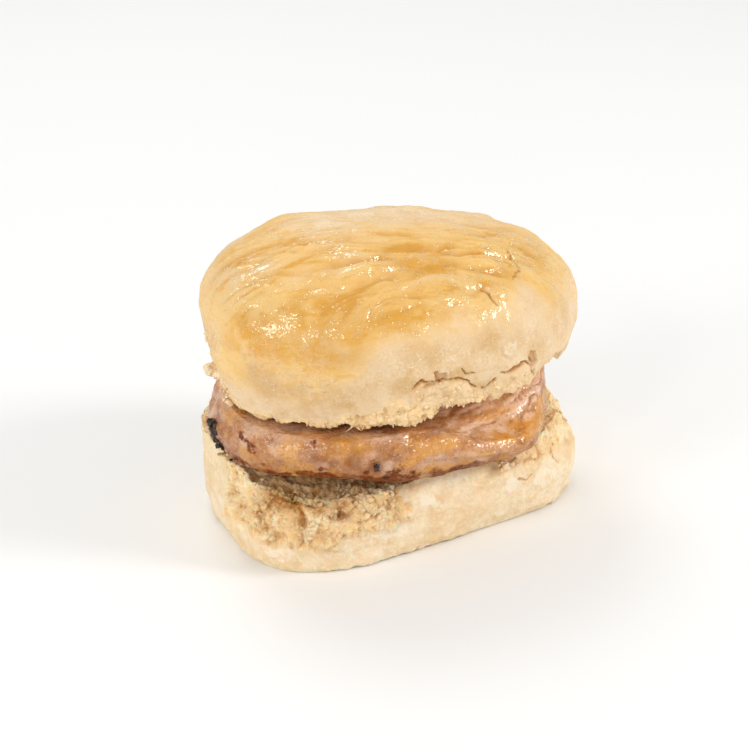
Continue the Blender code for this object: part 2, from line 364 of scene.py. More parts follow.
# Marks of the top half, each by its middle and its size along each axis: dents and lifted plates of crust,
# then pale, deeply baked, floured, tan and buttered patches
CROWN_DENTS = (
    (16.5, -32.4, 40.2, 1.2, 4, 2.6), (-5.9, -33.4, 42.3, 1.5, 4, 1.5), (-8.6, -33, 40.6, 2.2, 4, 0.6),
)
CROWN_PLATES = (
    (10.6, -33.8, 44.6, 2.6, 5, 1.6), (-5.6, -34, 42.6, 1.4, 5, 1.8),
)
CROWN_PALE = (
    (14.1, 5.6, 61.6, 14, 7, 6), (-18.1, -15.2, 63.2, 6, 2, 3), (-27, -13.1, 62.2, 4, 2, 3),
    (-24, -26, 50.5, 6, 4, 2.4), (1, -23.6, 59, 5, 1.4, 3), (-31, -6, 62, 3.6, 3, 3), (-37, 2, 56, 5, 9, 6),
)
CROWN_DEEP = (
    (-30.1, -20.4, 56.7, 3.5, 2.6, 3.4), (-26.5, -21.4, 57.8, 4.5, 2.6, 3), (-22, -22.2, 58.8, 4, 2.2, 3),
    (-18.1, -21.3, 59.9, 4, 1.3, 3), (-12, -20.6, 61, 5, 1, 3), (-32.4, 2.4, 61.5, 2.6, 2, 3),
    (-20, 2.1, 63.8, 3.5, 1.8, 3), (-14.4, 1.7, 64.5, 3, 1.4, 3), (-38.6, -13, 52, 3.4, 4, 3.6),
    (-36, -17.6, 49, 4, 4, 2.6), (-11.3, -4.3, 64, 1.6, 1, 2), (18.8, -9.4, 60.1, 3, 1.4, 2.4),
    (6.4, -14.2, 61.6, 2.6, 1.1, 2.4), (11.5, -17.7, 60.3, 3.2, 1, 2.4), (-3.2, -11.8, 62.7, 3.6, 1.1, 2.4),
    (27.5, -15.6, 54.8, 4, 4, 2.6), (9.4, -26.2, 56.9, 1.8, 2.4, 2.6), (0.4, -27.4, 57.5, 3.4, 1.8, 2.4),
    (-5.2, -26.6, 58.1, 4.4, 2, 2.4), (-13, -29.9, 54.9, 5, 3, 3), (-28, -25, 49, 7, 4, 3.6),
    (1.8, -21.1, 60, 4.6, 0.9, 2.4), (-5.4, -18.1, 62, 4.6, 0.9, 2.4), (-22, -28, 51.6, 5, 4, 2),
    (-25.6, -9, 63.4, 5, 0.8, 3),
)
CROWN_FLOUR = (
    (30.5, -7, 56.6, 5, 4, 4), (24, -10, 58.6, 5, 2.4, 4), (17, -17.4, 59, 1.6, 3.4, 3),
    (11.6, -22.6, 58.2, 4, 1.6, 3), (10.2, -28.4, 55, 2.2, 2.4, 2.6), (10.6, -33.6, 44.7, 2.8, 4, 2),
    (-3.6, -34.2, 46, 5, 5, 3), (7, -34, 36.6, 7, 4, 2.4), (-10, -32, 45, 9, 5, 4),
)
CROWN_TAN = (
    (-27, -26.6, 38.6, 9, 5, 4.4), (-35, -16, 40.6, 9, 8, 4.6), (-26.5, -26, 50.6, 8, 5, 3.4),
    (-10, -33, 46.6, 9, 5, 3.6), (4, -34, 47, 9, 5, 3.4), (10.4, -31.6, 46, 4, 4, 2.4),
    (18, -30.6, 42, 3, 4, 3), (26, -25, 46, 7, 5, 5), (-12.6, -32, 42, 3, 4, 2), (-1.6, -34, 42, 3, 4, 1.6),
)
CROWN_BUTTER = (
    (27, -8.8, 57.6, 7, 4, 4), (16, -19, 58.6, 2, 6, 3), (-34.2, -17, 53.8, 7, 9, 7),
    (-20, -26, 55, 7, 3, 4), (-32, -4, 60, 6, 5, 4), (10.4, -28.4, 55.2, 3, 3, 3),
)


def dome_share(rise):
    """Share of the oval's radius at a share of the dome's height: (1 - rise^2.25)^(1/2.3)."""
    return (1.0 - rise**2.25) ** (1.0 / 2.3)


def crown_form():
    """Rows: cut underside, side up to the belly, dome."""
    size = sizes()
    middle, half = mm(size.crown_middle), mm(size.crown_half)
    belly, top = mm(size.crown_belly), mm(size.crown_top)
    shares = np.linspace(2.0, 2.985, 2000)
    rise = np.sin((shares - 2.0) * np.pi / 2)
    arc = np.stack([37.0 * dome_share(rise), (top - belly) * rise], axis=-1)
    side = np.linspace(1.0, 2.0, 65)[:-1]
    rows = np.concatenate([[0.3, 0.7, 0.9, 0.97], side, even_steps(arc, shares, 90)])
    turn, share = wound(rows, 256.0)
    radius = oval(turn, half, 1.95) + 0.5 * lumps_round(turn, 14.0, 9)
    side = held(2.0 - share)
    rise = np.sin(held(share - 2.0) * np.pi / 2)
    undercut = near(degrees(turn), 318.0, 30.0)
    inset = (4.1 + 2.0 * undercut) * side ** (1.8 + 2.2 * undercut)
    reach = (radius - inset) * dome_share(rise) * held(share)
    points = placed(reach, turn, 0 * turn, middle)
    lip = lid(points[..., 0], points[..., 1]) + GAP
    raised = belly - 0.107 * reach * np.cos(turn) + 0.022 * reach * np.sin(turn)
    points[..., 2] = np.where(share <= 2.0, raised + (lip - raised) * side, raised + (top - belly) * rise)
    return points, turn, share


def fold_tracks(points):
    """Noise along lines that run to the right and forward: 1 in a crease, less on the crests."""
    x, y = points[..., 0], points[..., 1]
    across = y + 0.33 * x * (0.1 + 0.9 * blend(y, -25.0, -8.0)) + 2.2 * lumps(points, 14.0, 91)
    wrinkled = across + 0.7 * lumps(points, 4.0, 94)
    tracks = (x / 28.0, across / 6.0, 62), (x / 13.0, wrinkled / 2.7, 65), (x / 6.0, wrinkled / 1.3, 68)
    return [1.0 - np.abs(lumps(np.stack([u, v, 0.0 * u], axis=-1), 1.0, seed)) for u, v, seed in tracks]


def long_creases(points):
    """The three longest creases over the dome."""
    flat = np.array((1.0, 1.0, 0.35))
    moved = shaken(points, 7.0, 1.2, 151) * flat
    away = ((line_distance(moved, np.array(path) * flat), width) for path, width in LONG_CREASES)
    return np.max([1.0 - blend(distance, 0.1, width) for distance, width in away], axis=0)


def crown_masks(points, around):
    """Where the wall of the top half is broken: the lobes of the front and the crack over them, the
    torn front edge, the torn left end, the broken edge all round, and a band along the crack tinted tan."""
    z = points[..., 2]
    ragged = 1.3 * rough(points, 2.6, 72, 2)
    above = z - np.interp(around, *LOBE_CRACK) - 0.65 * rough(points, 2.0, 76, 4)
    front = between(around, 249.0, 296.0, 2.0)
    lobes = front * (1.0 - np.exp(np.minimum(above, 0.0) / 1.1))
    opening = 0.27 + 0.24 * lumps(points, 1.5, 78)
    opening = opening + 0.6 * near(around, 287.0, 3.4) + 0.3 * near(around, 250.5, 2.0)
    seam = (
        front * (1.0 - blend(np.abs(above), 0.2 * opening, opening))
        * blend(lumps(points, 2.6, 79), -0.75, -0.35)
    )
    height = 33.6 + 3.6 * near(around, 242.0, 8.0) + ragged
    torn = between(around, 224.0, 274.0, 6.0) * between(z, 28.0, height, 1.2)
    hollow = 1.0 - ((around - 167.0) / 19.0) ** 2 - ((z - 34.0) / 9.5) ** 2
    hollow = blend(hollow + 0.4 * rough(points, 3.2, 74), 0.0, 0.45)
    edge = between(z, 28.0, 32.2 + 0.7 * ragged, 0.7)
    crack_band = front * np.exp(-((above / 1.7) ** 2)) * patchy(points, 2.6, 77, -0.6, 0.5)
    return lobes, seam, torn, hollow, edge, crack_band


def crown_sheet():
    """The top half: its form with folds, cracks and torn places laid on along the normals."""
    points, turn, share = crown_form()
    outward, around = normals(points), degrees(turn)
    on_side = blend(share, 1.02, 1.12)
    z = points[..., 2]
    dome = blend(z, 53.0, 58.0) * blend(-points[..., 1], -24.0, -4.0)
    broad, fine, faint = fold_tracks(points)
    wall = 1.0 - blend(share, 1.7, 2.05)
    lobes, seam, torn_edge, hollow, low_edge, _ = crown_masks(points, around)

    relief = 0.9 * lumps(points, 17.0, 81) + 0.45 * lumps(points, 7.0, 82)
    folds = 0.6 - 0.9 * broad**3 - 0.7 * fine**4 - 0.36 * faint**3
    relief += dome * folds + 0.3 * (1 - dome) * lumps(points, 5.0, 92)
    relief -= 0.8 * long_creases(points)
    relief += (
        bump(points, (-15.0, 19.0, 62.0), (9.0, 7.0, 5.0))
        - 1.1 * bump(points, (-37.0, 5.0, 57.0), (8.0, 13.0, 7.0))
    )
    relief -= 0.5 * bump(points, (4.0, 8.0, 64.0), (14.0, 12.0, 8.0))
    relief += 0.8 * bump(points, (11.6, -28.7, 55.2), (3.0, 3.0, 3.0)) + 0.14 * rough(points, 2.0, 93, 3)

    # The front wall: rounded lobes under the long crack, thin plates over it, the torn lower edge
    big, grain = crumbly(points, 5.6, 101), crumbly(points, 1.7, 103)
    round_lobe = 1.0 - (1.0 - clumps(shaken(points, 5.0, 1.4, 107), 9.0, 109)) ** 2
    relief += lobes * (1.5 * round_lobe + 0.65 * grain - 0.5) + torn_edge * (2.6 * big + 0.8 * grain - 1.3)
    recess = blend(bumps(points, CROWN_DENTS) + 0.25 * rough(points, 1.2, 95, 2), 0.42, 0.66)
    plate = blend(bumps(points, CROWN_PLATES) + 0.35 * rough(points, 1.6, 96, 3), 0.45, 0.6)
    mosaic = clumps(shaken(points, 2.4, 0.8, 97), 3.6, 98)
    scales = between(around, 250.0, 296.0, 6.0) * between(z, 37.0, 45.0, 2.0)
    scales = scales * (1.0 - blend(mosaic, 0.08, 0.3))
    relief += 0.5 * plate - 0.7 * recess - 0.2 * scales
    # The left end: crust chipped away and the crumb torn back under it
    relief -= hollow * (1.9 - 1.9 * big - 0.5 * grain)
    # The broken lower edge all round
    relief += low_edge * (1.2 * big + 0.5 * grain - 0.6) * (1.0 - torn_edge)
    opened = np.max([seam, *(crack(points, path, width) for path, width in CROWN_CRACKS)], axis=0)
    pits = wall * blend(clumps(points, 1.7, 115), 0.88, 0.98) * patchy(points, 6.0, 117, -0.2, 0.5)
    relief -= 0.7 * opened * (0.4 + 0.6 * wall) + 0.2 * pits
    points = points + outward * (relief * on_side)[..., None]
    forms = broad, fine, faint, long_creases(points), opened, pits, big, grain, recess, plate, scales

    lifted = 2.4 * between(around, 262.0, 332.0, 10.0) + 0.6 + 0.6 * lumps(points, 4.0, 88)
    lifted += 1.8 * near(around, 255.0, 7.0) + 3.0 * near(around, 309.0, 11.0)
    lifted += rough(points * (1.0, 1.0, 0.0), 2.0, 89, 3)
    nicks = near(around, 207.0, 3.0) + near(around, 224.5, 3.0) + near(around, 238.0, 1.6)
    lifted += 1.4 * nicks * between(around, 203.0, 240.0, 1.0)
    floor = lid(points[..., 0], points[..., 1]) + GAP + blend(share, 0.8, 1.0) * np.maximum(lifted, 0.0)
    points[..., 2] = np.maximum(points[..., 2], floor)
    middle = mm(sizes().crown_middle)
    poles = [(*middle, lid(*middle) + GAP), tuple(points[-1].mean(axis=0))]
    return points, poles, crown_layers(points, share, around, dome, forms)


def crown_layers(points, share, around, dome, forms):
    """How far each part of the crust is baked, broken, floured and buttered, and where shade is painted
    into its cracks, dents, pits, crease bottoms and crumb gaps.
    """
    broad, fine, faint, creases, opened, pits, big, grain, recess, plate, scales = forms
    y, z = points[..., 1], points[..., 2]
    wall = 1.0 - blend(share, 1.7, 2.05)
    gold_line = 49.0 - 8.5 * between(around, 168.0, 214.0, 26.0)
    gold_line = gold_line + 3.4 * between(around, 244.0, 300.0, 14.0)
    ragged = z + 2.2 * rough(points, 9.0, 121) + 0.9 * lumps(points, 2.2, 126)
    gold = blend(ragged, gold_line - 5.0, gold_line + 3.5)
    gold *= 1.0 - 0.6 * bumps(points, CROWN_PALE) * held(0.8 + 0.6 * rough(points, 3.0, 119))
    gold *= 1.0 - 0.75 * blend(y, -14.0, 8.0) * patchy(points, 11.0, 123, -0.9, 0.4)
    streaks = (
        dome * held(0.9 * broad**6 + 0.9 * fine**5 + 0.5 * faint**4 + 0.8 * creases**2)
        * patchy(points, (12.0, 5.0, 5.0), 127, -0.7, 0.2)
    )
    blotches = np.clip(0.75 + 0.8 * rough(points, (4.0, 2.0, 2.0), 131, 4), 0.0, 1.2)
    patches = bumps(points, CROWN_DEEP) * blotches
    shoulder_band = between(z, 49.0, 54.5, 2.5) * between(around, 194.0, 264.0, 12.0)
    shoulder_band = shoulder_band * (0.5 + 0.5 * rough(points, 4.0, 132))
    deep = gold * held(0.9 * streaks + patches + 0.7 * shoulder_band)
    lobes, _, torn_edge, hollow, low_edge, crack_band = crown_masks(points, around)
    broken = held(torn_edge + hollow + low_edge + 0.55 * lobes)
    broken = np.maximum(broken, 1.0 - blend(share, 1.0, 1.03))
    marks = 0.3 * bumps(points, CROWN_FLOUR) * patchy(points, 2.4, 137, -0.9, 0.5, 4)
    top = 0.75 * bump(points, (4.0, 9.0, 63.0), (27.0, 10.0, 6.0)) * (0.7 + 0.6 * rough(points, 5.0, 138))
    thin = (0.06 + 0.24 * patchy(points, 4.0, 141, -0.1, 0.8, 4)) * (1.0 - gold)
    flour = np.max([marks, 0.45 * plate, top, thin], axis=0)
    tan = (
        0.45 * wall * patchy(points, (7.0, 7.0, 4.0), 139, -0.1, 0.8, 4)
        + 0.4 * wall * patchy(points, 2.2, 140, 0.1, 0.9, 3)
    )
    tan = held(bumps(points, CROWN_TAN) * (0.75 + 0.5 * rough(points, 3.4, 142)) + tan + 0.7 * crack_band)
    butter = held(gold * (0.55 + 0.6 * rough(points, 8.0, 145)))
    butter = np.maximum(butter, 1.5 * bumps(points, CROWN_BUTTER))
    holes = broken * (1.0 - blend(0.6 * big + 0.4 * grain, 0.12, 0.5))
    # Painted shade: cracks, crease bottoms, pits, gaps between crumbs, dents and gaps between flakes are
    # darkened where shade falls
    dark = opened, 0.2 * dome * broad**9, 0.3 * pits, 0.45 * holes, 0.5 * recess, 0.2 * scales
    groove_shade = held(np.max(dark, axis=0))
    return {
        "gold": gold, "deep": deep, "flour": flour, "torn": broken, "groove_shade": groove_shade,
        "butter": butter * (1.0 - broken), "tan": tan,
    }


# --------------------------------------------------------------------------------------------------
# Patty

# Marks of the patty: browned specks, amber patches and char
PATTY_SPECKS = (
    (-40, -7.6, 27.3, 1.3, 1.4, 1.1), (-39.7, -9.4, 27, 1.5, 1.2, 1), (-39.3, -11.2, 26, 1.4, 1.2, 1.2),
    (-39, -12, 25.1, 0.8, 0.8, 0.7), (-30.1, -23.4, 29.4, 1, 1.4, 0.8), (-29.9, -25, 23.9, 1, 1, 0.7),
    (-27.2, -27.1, 24, 0.8, 0.8, 0.5), (-17, -31.1, 22, 2.4, 2, 1.5), (-14, -31.9, 21, 2, 2, 1),
    (-20.6, -29.8, 22.6, 1.6, 1.8, 1.2), (20, -25, 19.4, 4, 3, 0.8), (-38, -14, 23, 0.9, 0.9, 0.6),
)
PATTY_ORANGE = (
    (-8.6, -32.3, 21.3, 3, 2, 1.2), (-4, -31.4, 20.2, 3.4, 3, 1.2), (23.6, -23.8, 24.6, 2.4, 2.4, 1.4),
    (-37.6, -2, 30.4, 2.4, 3, 1.6), (9.2, -30.9, 23.2, 8, 3, 1.5), (15, -30, 22.6, 4, 3, 1.4),
    (16, -28, 23, 7, 3, 2), (-8.7, -32.8, 26.7, 4, 2, 0.9), (-24.5, -27.6, 28.8, 4, 3, 2),
    (11, -24.6, 26, 5, 2, 1),
)
PATTY_CHAR = (
    (-40.6, 6.6, 24.6, 1.8, 2.2, 1.7), (-41.3, 4, 23.3, 2, 1.8, 1.5), (-41.2, 1.6, 22, 1.6, 1.4, 1.1),
    (-20.3, -30.6, 24.5, 0.8, 1, 0.8), (-40.4, -3.4, 20.4, 1, 1, 0.7),
)


def patty_faces(points):
    """Heights of the underside and the upper side; the underside bends up at the left of the front."""
    x, y = points[..., 0], points[..., 1]
    bent = 3.4 * bump(points * (1.0, 1.0, 0.0), (-27.0, -24.0, 0.0), (17.0, 10.0, 1.0))
    return seat(x, y) + GAP + bent, lid(x, y) - shoulder(x, y)


def patty_form():
    """Rows: underside, bulging side, upper side. The side is inset by 2.8 |2s - 1|^2.6 at its share s."""
    size = sizes()
    middle, half = mm(size.patty_middle), mm(size.patty_half)
    rows = np.concatenate([[0.4, 0.8, 0.92], np.linspace(1.0, 2.0, 60), 3.0 - np.linspace(0.985, 0.1, 70)])
    turn, share = wound(rows)
    around = degrees(turn)
    radius = oval(turn, half, 2.5) + 0.8 * lumps_round(turn, 15.0, 6)
    bulges = 1.2 * near(around, 198.0, 16.0) - 2.8 * near(around, 328.0, 26.0)
    radius += bulges - 2.0 * near(around, 140.0, 22.0)
    side = held(share - 1.0)
    lower = blend(side, 0.75, 0.35)
    upright = 1.0 - 0.9 * near(around, 190.0, 24.0) * lower
    inset = 2.8 * upright * np.abs(2.0 * side - 1.0) ** 2.6
    reach = radius - inset + 1.7 * near(around, 168.0, 20.0) * lower
    reach = reach * held(share) * held(3.0 - share)
    points = placed(reach, turn, 0 * turn, middle)
    low, high = patty_faces(points)
    points[..., 2] = low + (high - low) * side
    return points, turn, share


def patty_sheet():
    """The patty: its form with lumps, seams and strands of meat laid on along the normals."""
    points, turn, share = patty_form()
    outward, around = normals(points), degrees(turn)
    on_side = between(share, 1.05, 2.3, 0.08)
    on_face = blend(share, 1.78, 1.95)
    relief = 0.8 * lumps(points, (9.0, 9.0, 6.0), 51) + 0.4 * lumps(points, 4.5, 52)
    seams = (
        (1.0 - blend(clumps(shaken(points, 5.0, 1.6, 57), 9.0, 55), 0.0, 0.16))
        * blend(lumps(points, 12.0, 56), -0.1, 0.4)
    )
    relief -= 0.4 * seams
    relief -= 0.8 * bump(points, (-20.3, -30.4, 24.0), (1.6, 4.0, 1.4))
    relief += 0.9 * between(around, 262.0, 300.0, 12.0) * between(share, 1.55, 1.8, 0.15)
    wavy = (
        shaken(shaken(points, 6.0, 1.8, 161), 2.0, 0.5, 164)
        * (1.0, 1.0, 0.6) @ np.array(((0.94, -0.34, 0), (0.34, 0.94, 0), (0, 0, 1.0)))
    )
    strands = 1.0 - np.abs(lumps(wavy, (8.0, 1.5, 2.0), 162))
    relief += on_face * (0.4 - 0.8 * strands**3) * blend(points[..., 0], -4.0, 10.0)
    relief += 0.2 * rough(points, 1.8, 168, 3)
    points = points + outward * (relief * on_side)[..., None]
    low, high = patty_faces(points)
    high = high - between(share, 1.8, 3.0, 0.1) * (0.3 + 0.3 * lumps(points, 5.0, 58))
    points[..., 2] = np.clip(points[..., 2], low, high)
    middle = mm(sizes().patty_middle)
    poles = [(*middle, seat(*middle) + GAP), (*middle, lid(*middle) - 0.3)]
    return points, poles, patty_layers(points, low, on_side, on_face, (seams, strands))


def patty_layers(points, low, on_side, on_face, forms):
    """Where the meat is browned, amber, pink, charred, and where it has seams."""
    seams, strands = forms
    x = points[..., 0]
    over = points[..., 2] - low
    over_front = over - 1.3 * between(np.degrees(np.arctan2(-points[..., 1], -x)), 38.0, 130.0, 14.0)
    rim = 1.0 - blend(over_front + 0.7 * rough(points, 2.4, 171), 0.7, 1.9)
    rim = rim * (1.0 - 0.9 * blend(x, 0.0, 10.0))
    specks = bumps(points, PATTY_SPECKS) * (0.8 + 0.7 * rough(points, 0.8, 173))
    specks = blend(specks + 0.38 * rough(points, 1.1, 174) - 0.05, 0.2, 0.62)
    low_side = 0.34 * (1.0 - blend(over + 0.8 * rough(points, 3.0, 179), 1.6, 6.4))
    low_side = low_side * (1.0 - 0.9 * blend(x, -4.0, 8.0))
    patch = 0.47 * bump(points, (-24.0, -28.0, 26.4), (11.0, 5.0, 4.0))
    patch = patch * patchy(points, 3.0, 180, -0.8, 0.5)
    face = 0.16 * on_face * patchy(points, (6.0, 3.0, 3.0), 181, 0.2, 0.8)
    edge = rim * patchy(points, 3.0, 177, -0.8, 0.2)
    brown = np.max([specks, edge, low_side, patch, face], axis=0)
    orange = bumps(points, PATTY_ORANGE)
    amber = 0.6 * patchy(points, (5.0, 5.0, 3.0), 185, 0.0, 0.7, 4) * (1.0 - 0.6 * on_face)
    amber = np.maximum(amber, orange * np.clip(0.9 + 0.6 * rough(points, 2.2, 187), 0.0, 1.1))
    pale = rough(points, 4.5, 189, 4) + 0.5 * on_face + 0.25 * (1.0 - blend(x, -40.0, -30.0))
    pale_strands = 1.3 * on_face * blend(strands, 0.98, 0.6) * blend(x, -10.0, 4.0)
    pink = np.maximum(0.5 * blend(pale, 0.1, 0.9), pale_strands) * (1.0 - 0.4 * amber)
    char = bumps(points, PATTY_CHAR)
    char = blend(char + 0.3 * rough(points, 1.0, 193), 0.5, 0.75)
    char = np.maximum(char, 0.8 * blend(rim + 0.45 * rough(points, (3.0, 3.0, 1.0), 197), 1.2, 1.5))
    seam = np.maximum(seams * on_side * 0.6, on_face * strands**5)
    return {"brown": held(brown), "amber": held(amber), "pink": pink, "char": char, "seam": seam}


# --------------------------------------------------------------------------------------------------
# Bottom half

# Marks of the bottom half: cracks, clumps and pits, then flour, fat stains with painted shade under the
# patty, and golden-brown painted shade in recesses
HEEL_CRACKS = (
    [(14.6, -28.4, 11), (16.4, -28.4, 10.3), (18.4, -28, 10.9)],
    [(24, -26, 13), (25.4, -25, 11), (26, -24.6, 10.6)],
)
HEEL_CLUMPS = (
    (-36.4, -19.3, 14.2, 3.4, 3.4, 1.8), (-32.4, -23.4, 14.6, 4, 3.4, 1.4), (-21.8, -26.4, 14.6, 4, 3, 1.8),
)
HEEL_PITS = (
    (-33.6, -22.4, 11.4, 2.6, 3.4, 1.6), (-37.6, -18.8, 8.8, 1.6, 3, 1.5), (-26.8, -26, 13, 2.6, 3, 1.4),
)
HEEL_FLOUR = (
    (-9, -28.6, 11.6, 6, 4, 3.2), (12, -28.8, 10.6, 6, 4, 2.4), (13, -28.6, 13.2, 4, 4, 1.8),
    (-16, -28.4, 7.6, 5, 4, 2.4), (22, -28, 9, 6, 4, 2.6), (-38, -20, 3.6, 5, 5, 1.6),
    (0, -29, 14, 9, 4, 1.6),
)
HEEL_STAINS = (
    (12.8, -28, 14.6, 3.2, 3, 1), (9, -28.6, 14.8, 1.6, 3, 0.7), (-12, -29, 16, 3, 3, 1.4),
    (-25, -27, 15.6, 5, 3, 1.6), (-37.4, -15.8, 18.3, 2.6, 2.4, 1.6), (-33.6, -18, 17.8, 3, 2.4, 1.6),
    (-28.6, -20.4, 17.4, 3, 2, 1.4),
)
# Golden-brown painted shade in the pits and recesses of the torn crumb
HEEL_RECESS_SHADE = (
    (-33.6, -21.6, 11.6, 2.4, 2.4, 1.8), (-37.3, -18.8, 8.8, 2, 2.4, 1.6), (-38.6, -10, 15.6, 2, 3, 1.6),
    (-31, -24, 9, 5, 3, 1.6), (-24, -25.4, 14, 2.4, 2.4, 1.6), (-40.4, -9, 11, 2, 3, 2.4),
)


def heel_form():
    """Rows: flat base, rounded foot up to the belly, side up to the rim, cut face."""
    size = sizes()
    middle, half, belly = mm(size.heel_middle), mm(size.heel_half), mm(size.heel_belly)
    sides = [np.linspace(1.0, 1.4, 30)[:-1], np.linspace(1.4, 2.0, 56)]
    face = 2.008 + 0.87 * np.linspace(0.0, 1.0, 58) ** 1.4
    turn, share = wound(np.concatenate([[0.4, 0.8, 0.92], *sides, face]), 236.0)
    around = degrees(turn)
    radius = oval(turn, half, 3.3) + 0.7 * lumps_round(turn, 16.0, 3)
    radius -= 1.5 * near(around, 158.0, 20.0)
    foot = held((share - 1.0) / 0.4) * np.pi / 2
    side = held((share - 1.4) / 0.6)
    base_inset = 3.9 - 2.9 * near(around, 193.0, 48.0)
    rim_inset = 2.0 + 3.5 * near(around, 326.0, 22.0) - 1.7 * near(around, 160.0, 24.0)
    reach = radius - base_inset * (1.0 - np.sin(foot)) - rim_inset * side**2
    reach = reach * held(share) * held(3.0 - share)
    rim = placed(radius - rim_inset, turn, 0 * turn, middle)
    height = belly * (1.0 - np.cos(foot)) + (seat(rim[..., 0], rim[..., 1]) - belly) * side
    points = placed(reach, turn, height, middle)
    points[..., 2] = np.where(share > 1.995, seat(points[..., 0], points[..., 1]), points[..., 2])
    return points, turn, share


def torn_share(points, around):
    """1 where the front left of the bottom half is torn open, with a ragged edge."""
    ragged = rough(points, 4.0, 201)
    turn = around + 6.0 * ragged
    return (
        between(turn, 187.0, 247.0, 3.0)
        * blend(points[..., 2] + 2.0 * ragged - 2.6 * near(around, 240.0, 12.0), 5.2, 7.6)
    )


def heel_sheet():
    """The bottom half: its form with torn crumb, pits and cracks laid on along the normals, and a
    pitted cut face."""
    points, turn, share = heel_form()
    outward, around = normals(points), degrees(turn)
    on_side = between(share, 1.12, 2.0, 0.06)
    z = points[..., 2]
    torn = torn_share(points, around)
    cut_end = between(around, 296.0, 352.0, 9.0) * blend(z + 1.2 * rough(points, 5.0, 206), 11.5, 14.5)
    big, grain = crumbly(points, 7.4, 207), crumbly(points, 1.7, 211)
    relief = 0.55 * lumps(points, 13.0, 11) + 0.3 * lumps(points, (9.0, 9.0, 4.0), 12)
    crust = 0.16 * rough(points, 2.4, 217, 4) + 0.22 * lumps(points, (7.0, 7.0, 1.5), 221)
    relief += (1.0 - torn) * crust
    crumb = 4.2 * big - 2.1 + 0.8 * lumps(points, 5.0, 24)
    relief += torn * (0.35 + 0.65 * blend(z, 4.0, 10.5)) * crumb + torn * (1.0 * grain - 0.5)
    relief += cut_end * (1.5 * big + 0.5 * grain - 0.9)
    relief += 1.2 * torn * bumps(points, HEEL_CLUMPS)
    relief -= 2.4 * bumps(points, HEEL_PITS)
    hollow = between(around + 4.0 * rough(points, 4.0, 209), 206.0, 236.0, 8.0)
    hollow = hollow * blend(z + rough(points, 3.0, 210), 13.0, 16.0)
    relief -= 1.3 * hollow * (1.0 - 0.8 * grain)
    cracks = np.max([crack(points, path, 0.34) for path in HEEL_CRACKS], axis=0)
    relief -= 0.3 * cracks
    foot = 0.4 * rough(points, 2.0, 219) * (1.0 - blend(z, 1.6, 4.0))
    relief += foot + 0.2 * (1.0 - torn) * crumbly(points, 2.4, 220)
    points = points + outward * (relief * on_side)[..., None]

    # The cut face follows the broken rim inwards, pitted, and crumbled most beside the torn part
    last = int(np.flatnonzero(share[:, 0] <= 2.0)[-1])
    middle = np.array(mm(sizes().heel_middle))
    inward = held(3.0 - share[last + 1:, :, None])
    points[last + 1:, :, :2] = middle + (points[last, :, :2] - middle) * inward
    on_top = blend(share + 0.03 * rough(points, 3.0, 222), 1.95, 1.99)
    pores = clumps(shaken(points, 2.0, 0.5, 223), 2.3, 225)
    big = np.where(share > 2.0, crumbly(points, 5.0, 207), big)
    grain = np.where(share > 2.0, crumbly(points, 1.7, 211), grain)
    away = np.hypot(points[..., 0] - points[last, :, 0], points[..., 1] - points[last, :, 1])
    beside = between(around, 196.0, 246.0, 10.0)
    dip = (
        on_top * (1.0 - 0.6 * blend(points[..., 0], 22.0, 30.0))
        * (
            0.25 + 0.25 * lumps(points, 6.0, 41) + 0.7 * blend(pores, 0.3, 0.0) + 0.35 * (1.0 - grain)
            + beside * (1.8 * (1.0 - big) + 0.9 * (1.0 - grain) + 0.9 * lumps(points, 2.6, 226))
        )
    )
    ceiling = seat(points[..., 0], points[..., 1]) - dip
    drop = np.maximum(ceiling[last] - points[last, :, 2], 0.0)
    ceiling = ceiling - np.where(share > 2.0, drop * np.exp(-away / 2.6), 0.0)
    height = np.where(share > 2.0, ceiling, points[..., 2])
    points[..., 2] = np.clip(height, 0.0, ceiling)
    poles = [(*middle, 0.0), (*middle, seat(*middle) - 0.3)]
    return points, poles, heel_layers(
        points, around, (torn, cut_end, on_top, big, grain, pores, hollow, cracks)
    )


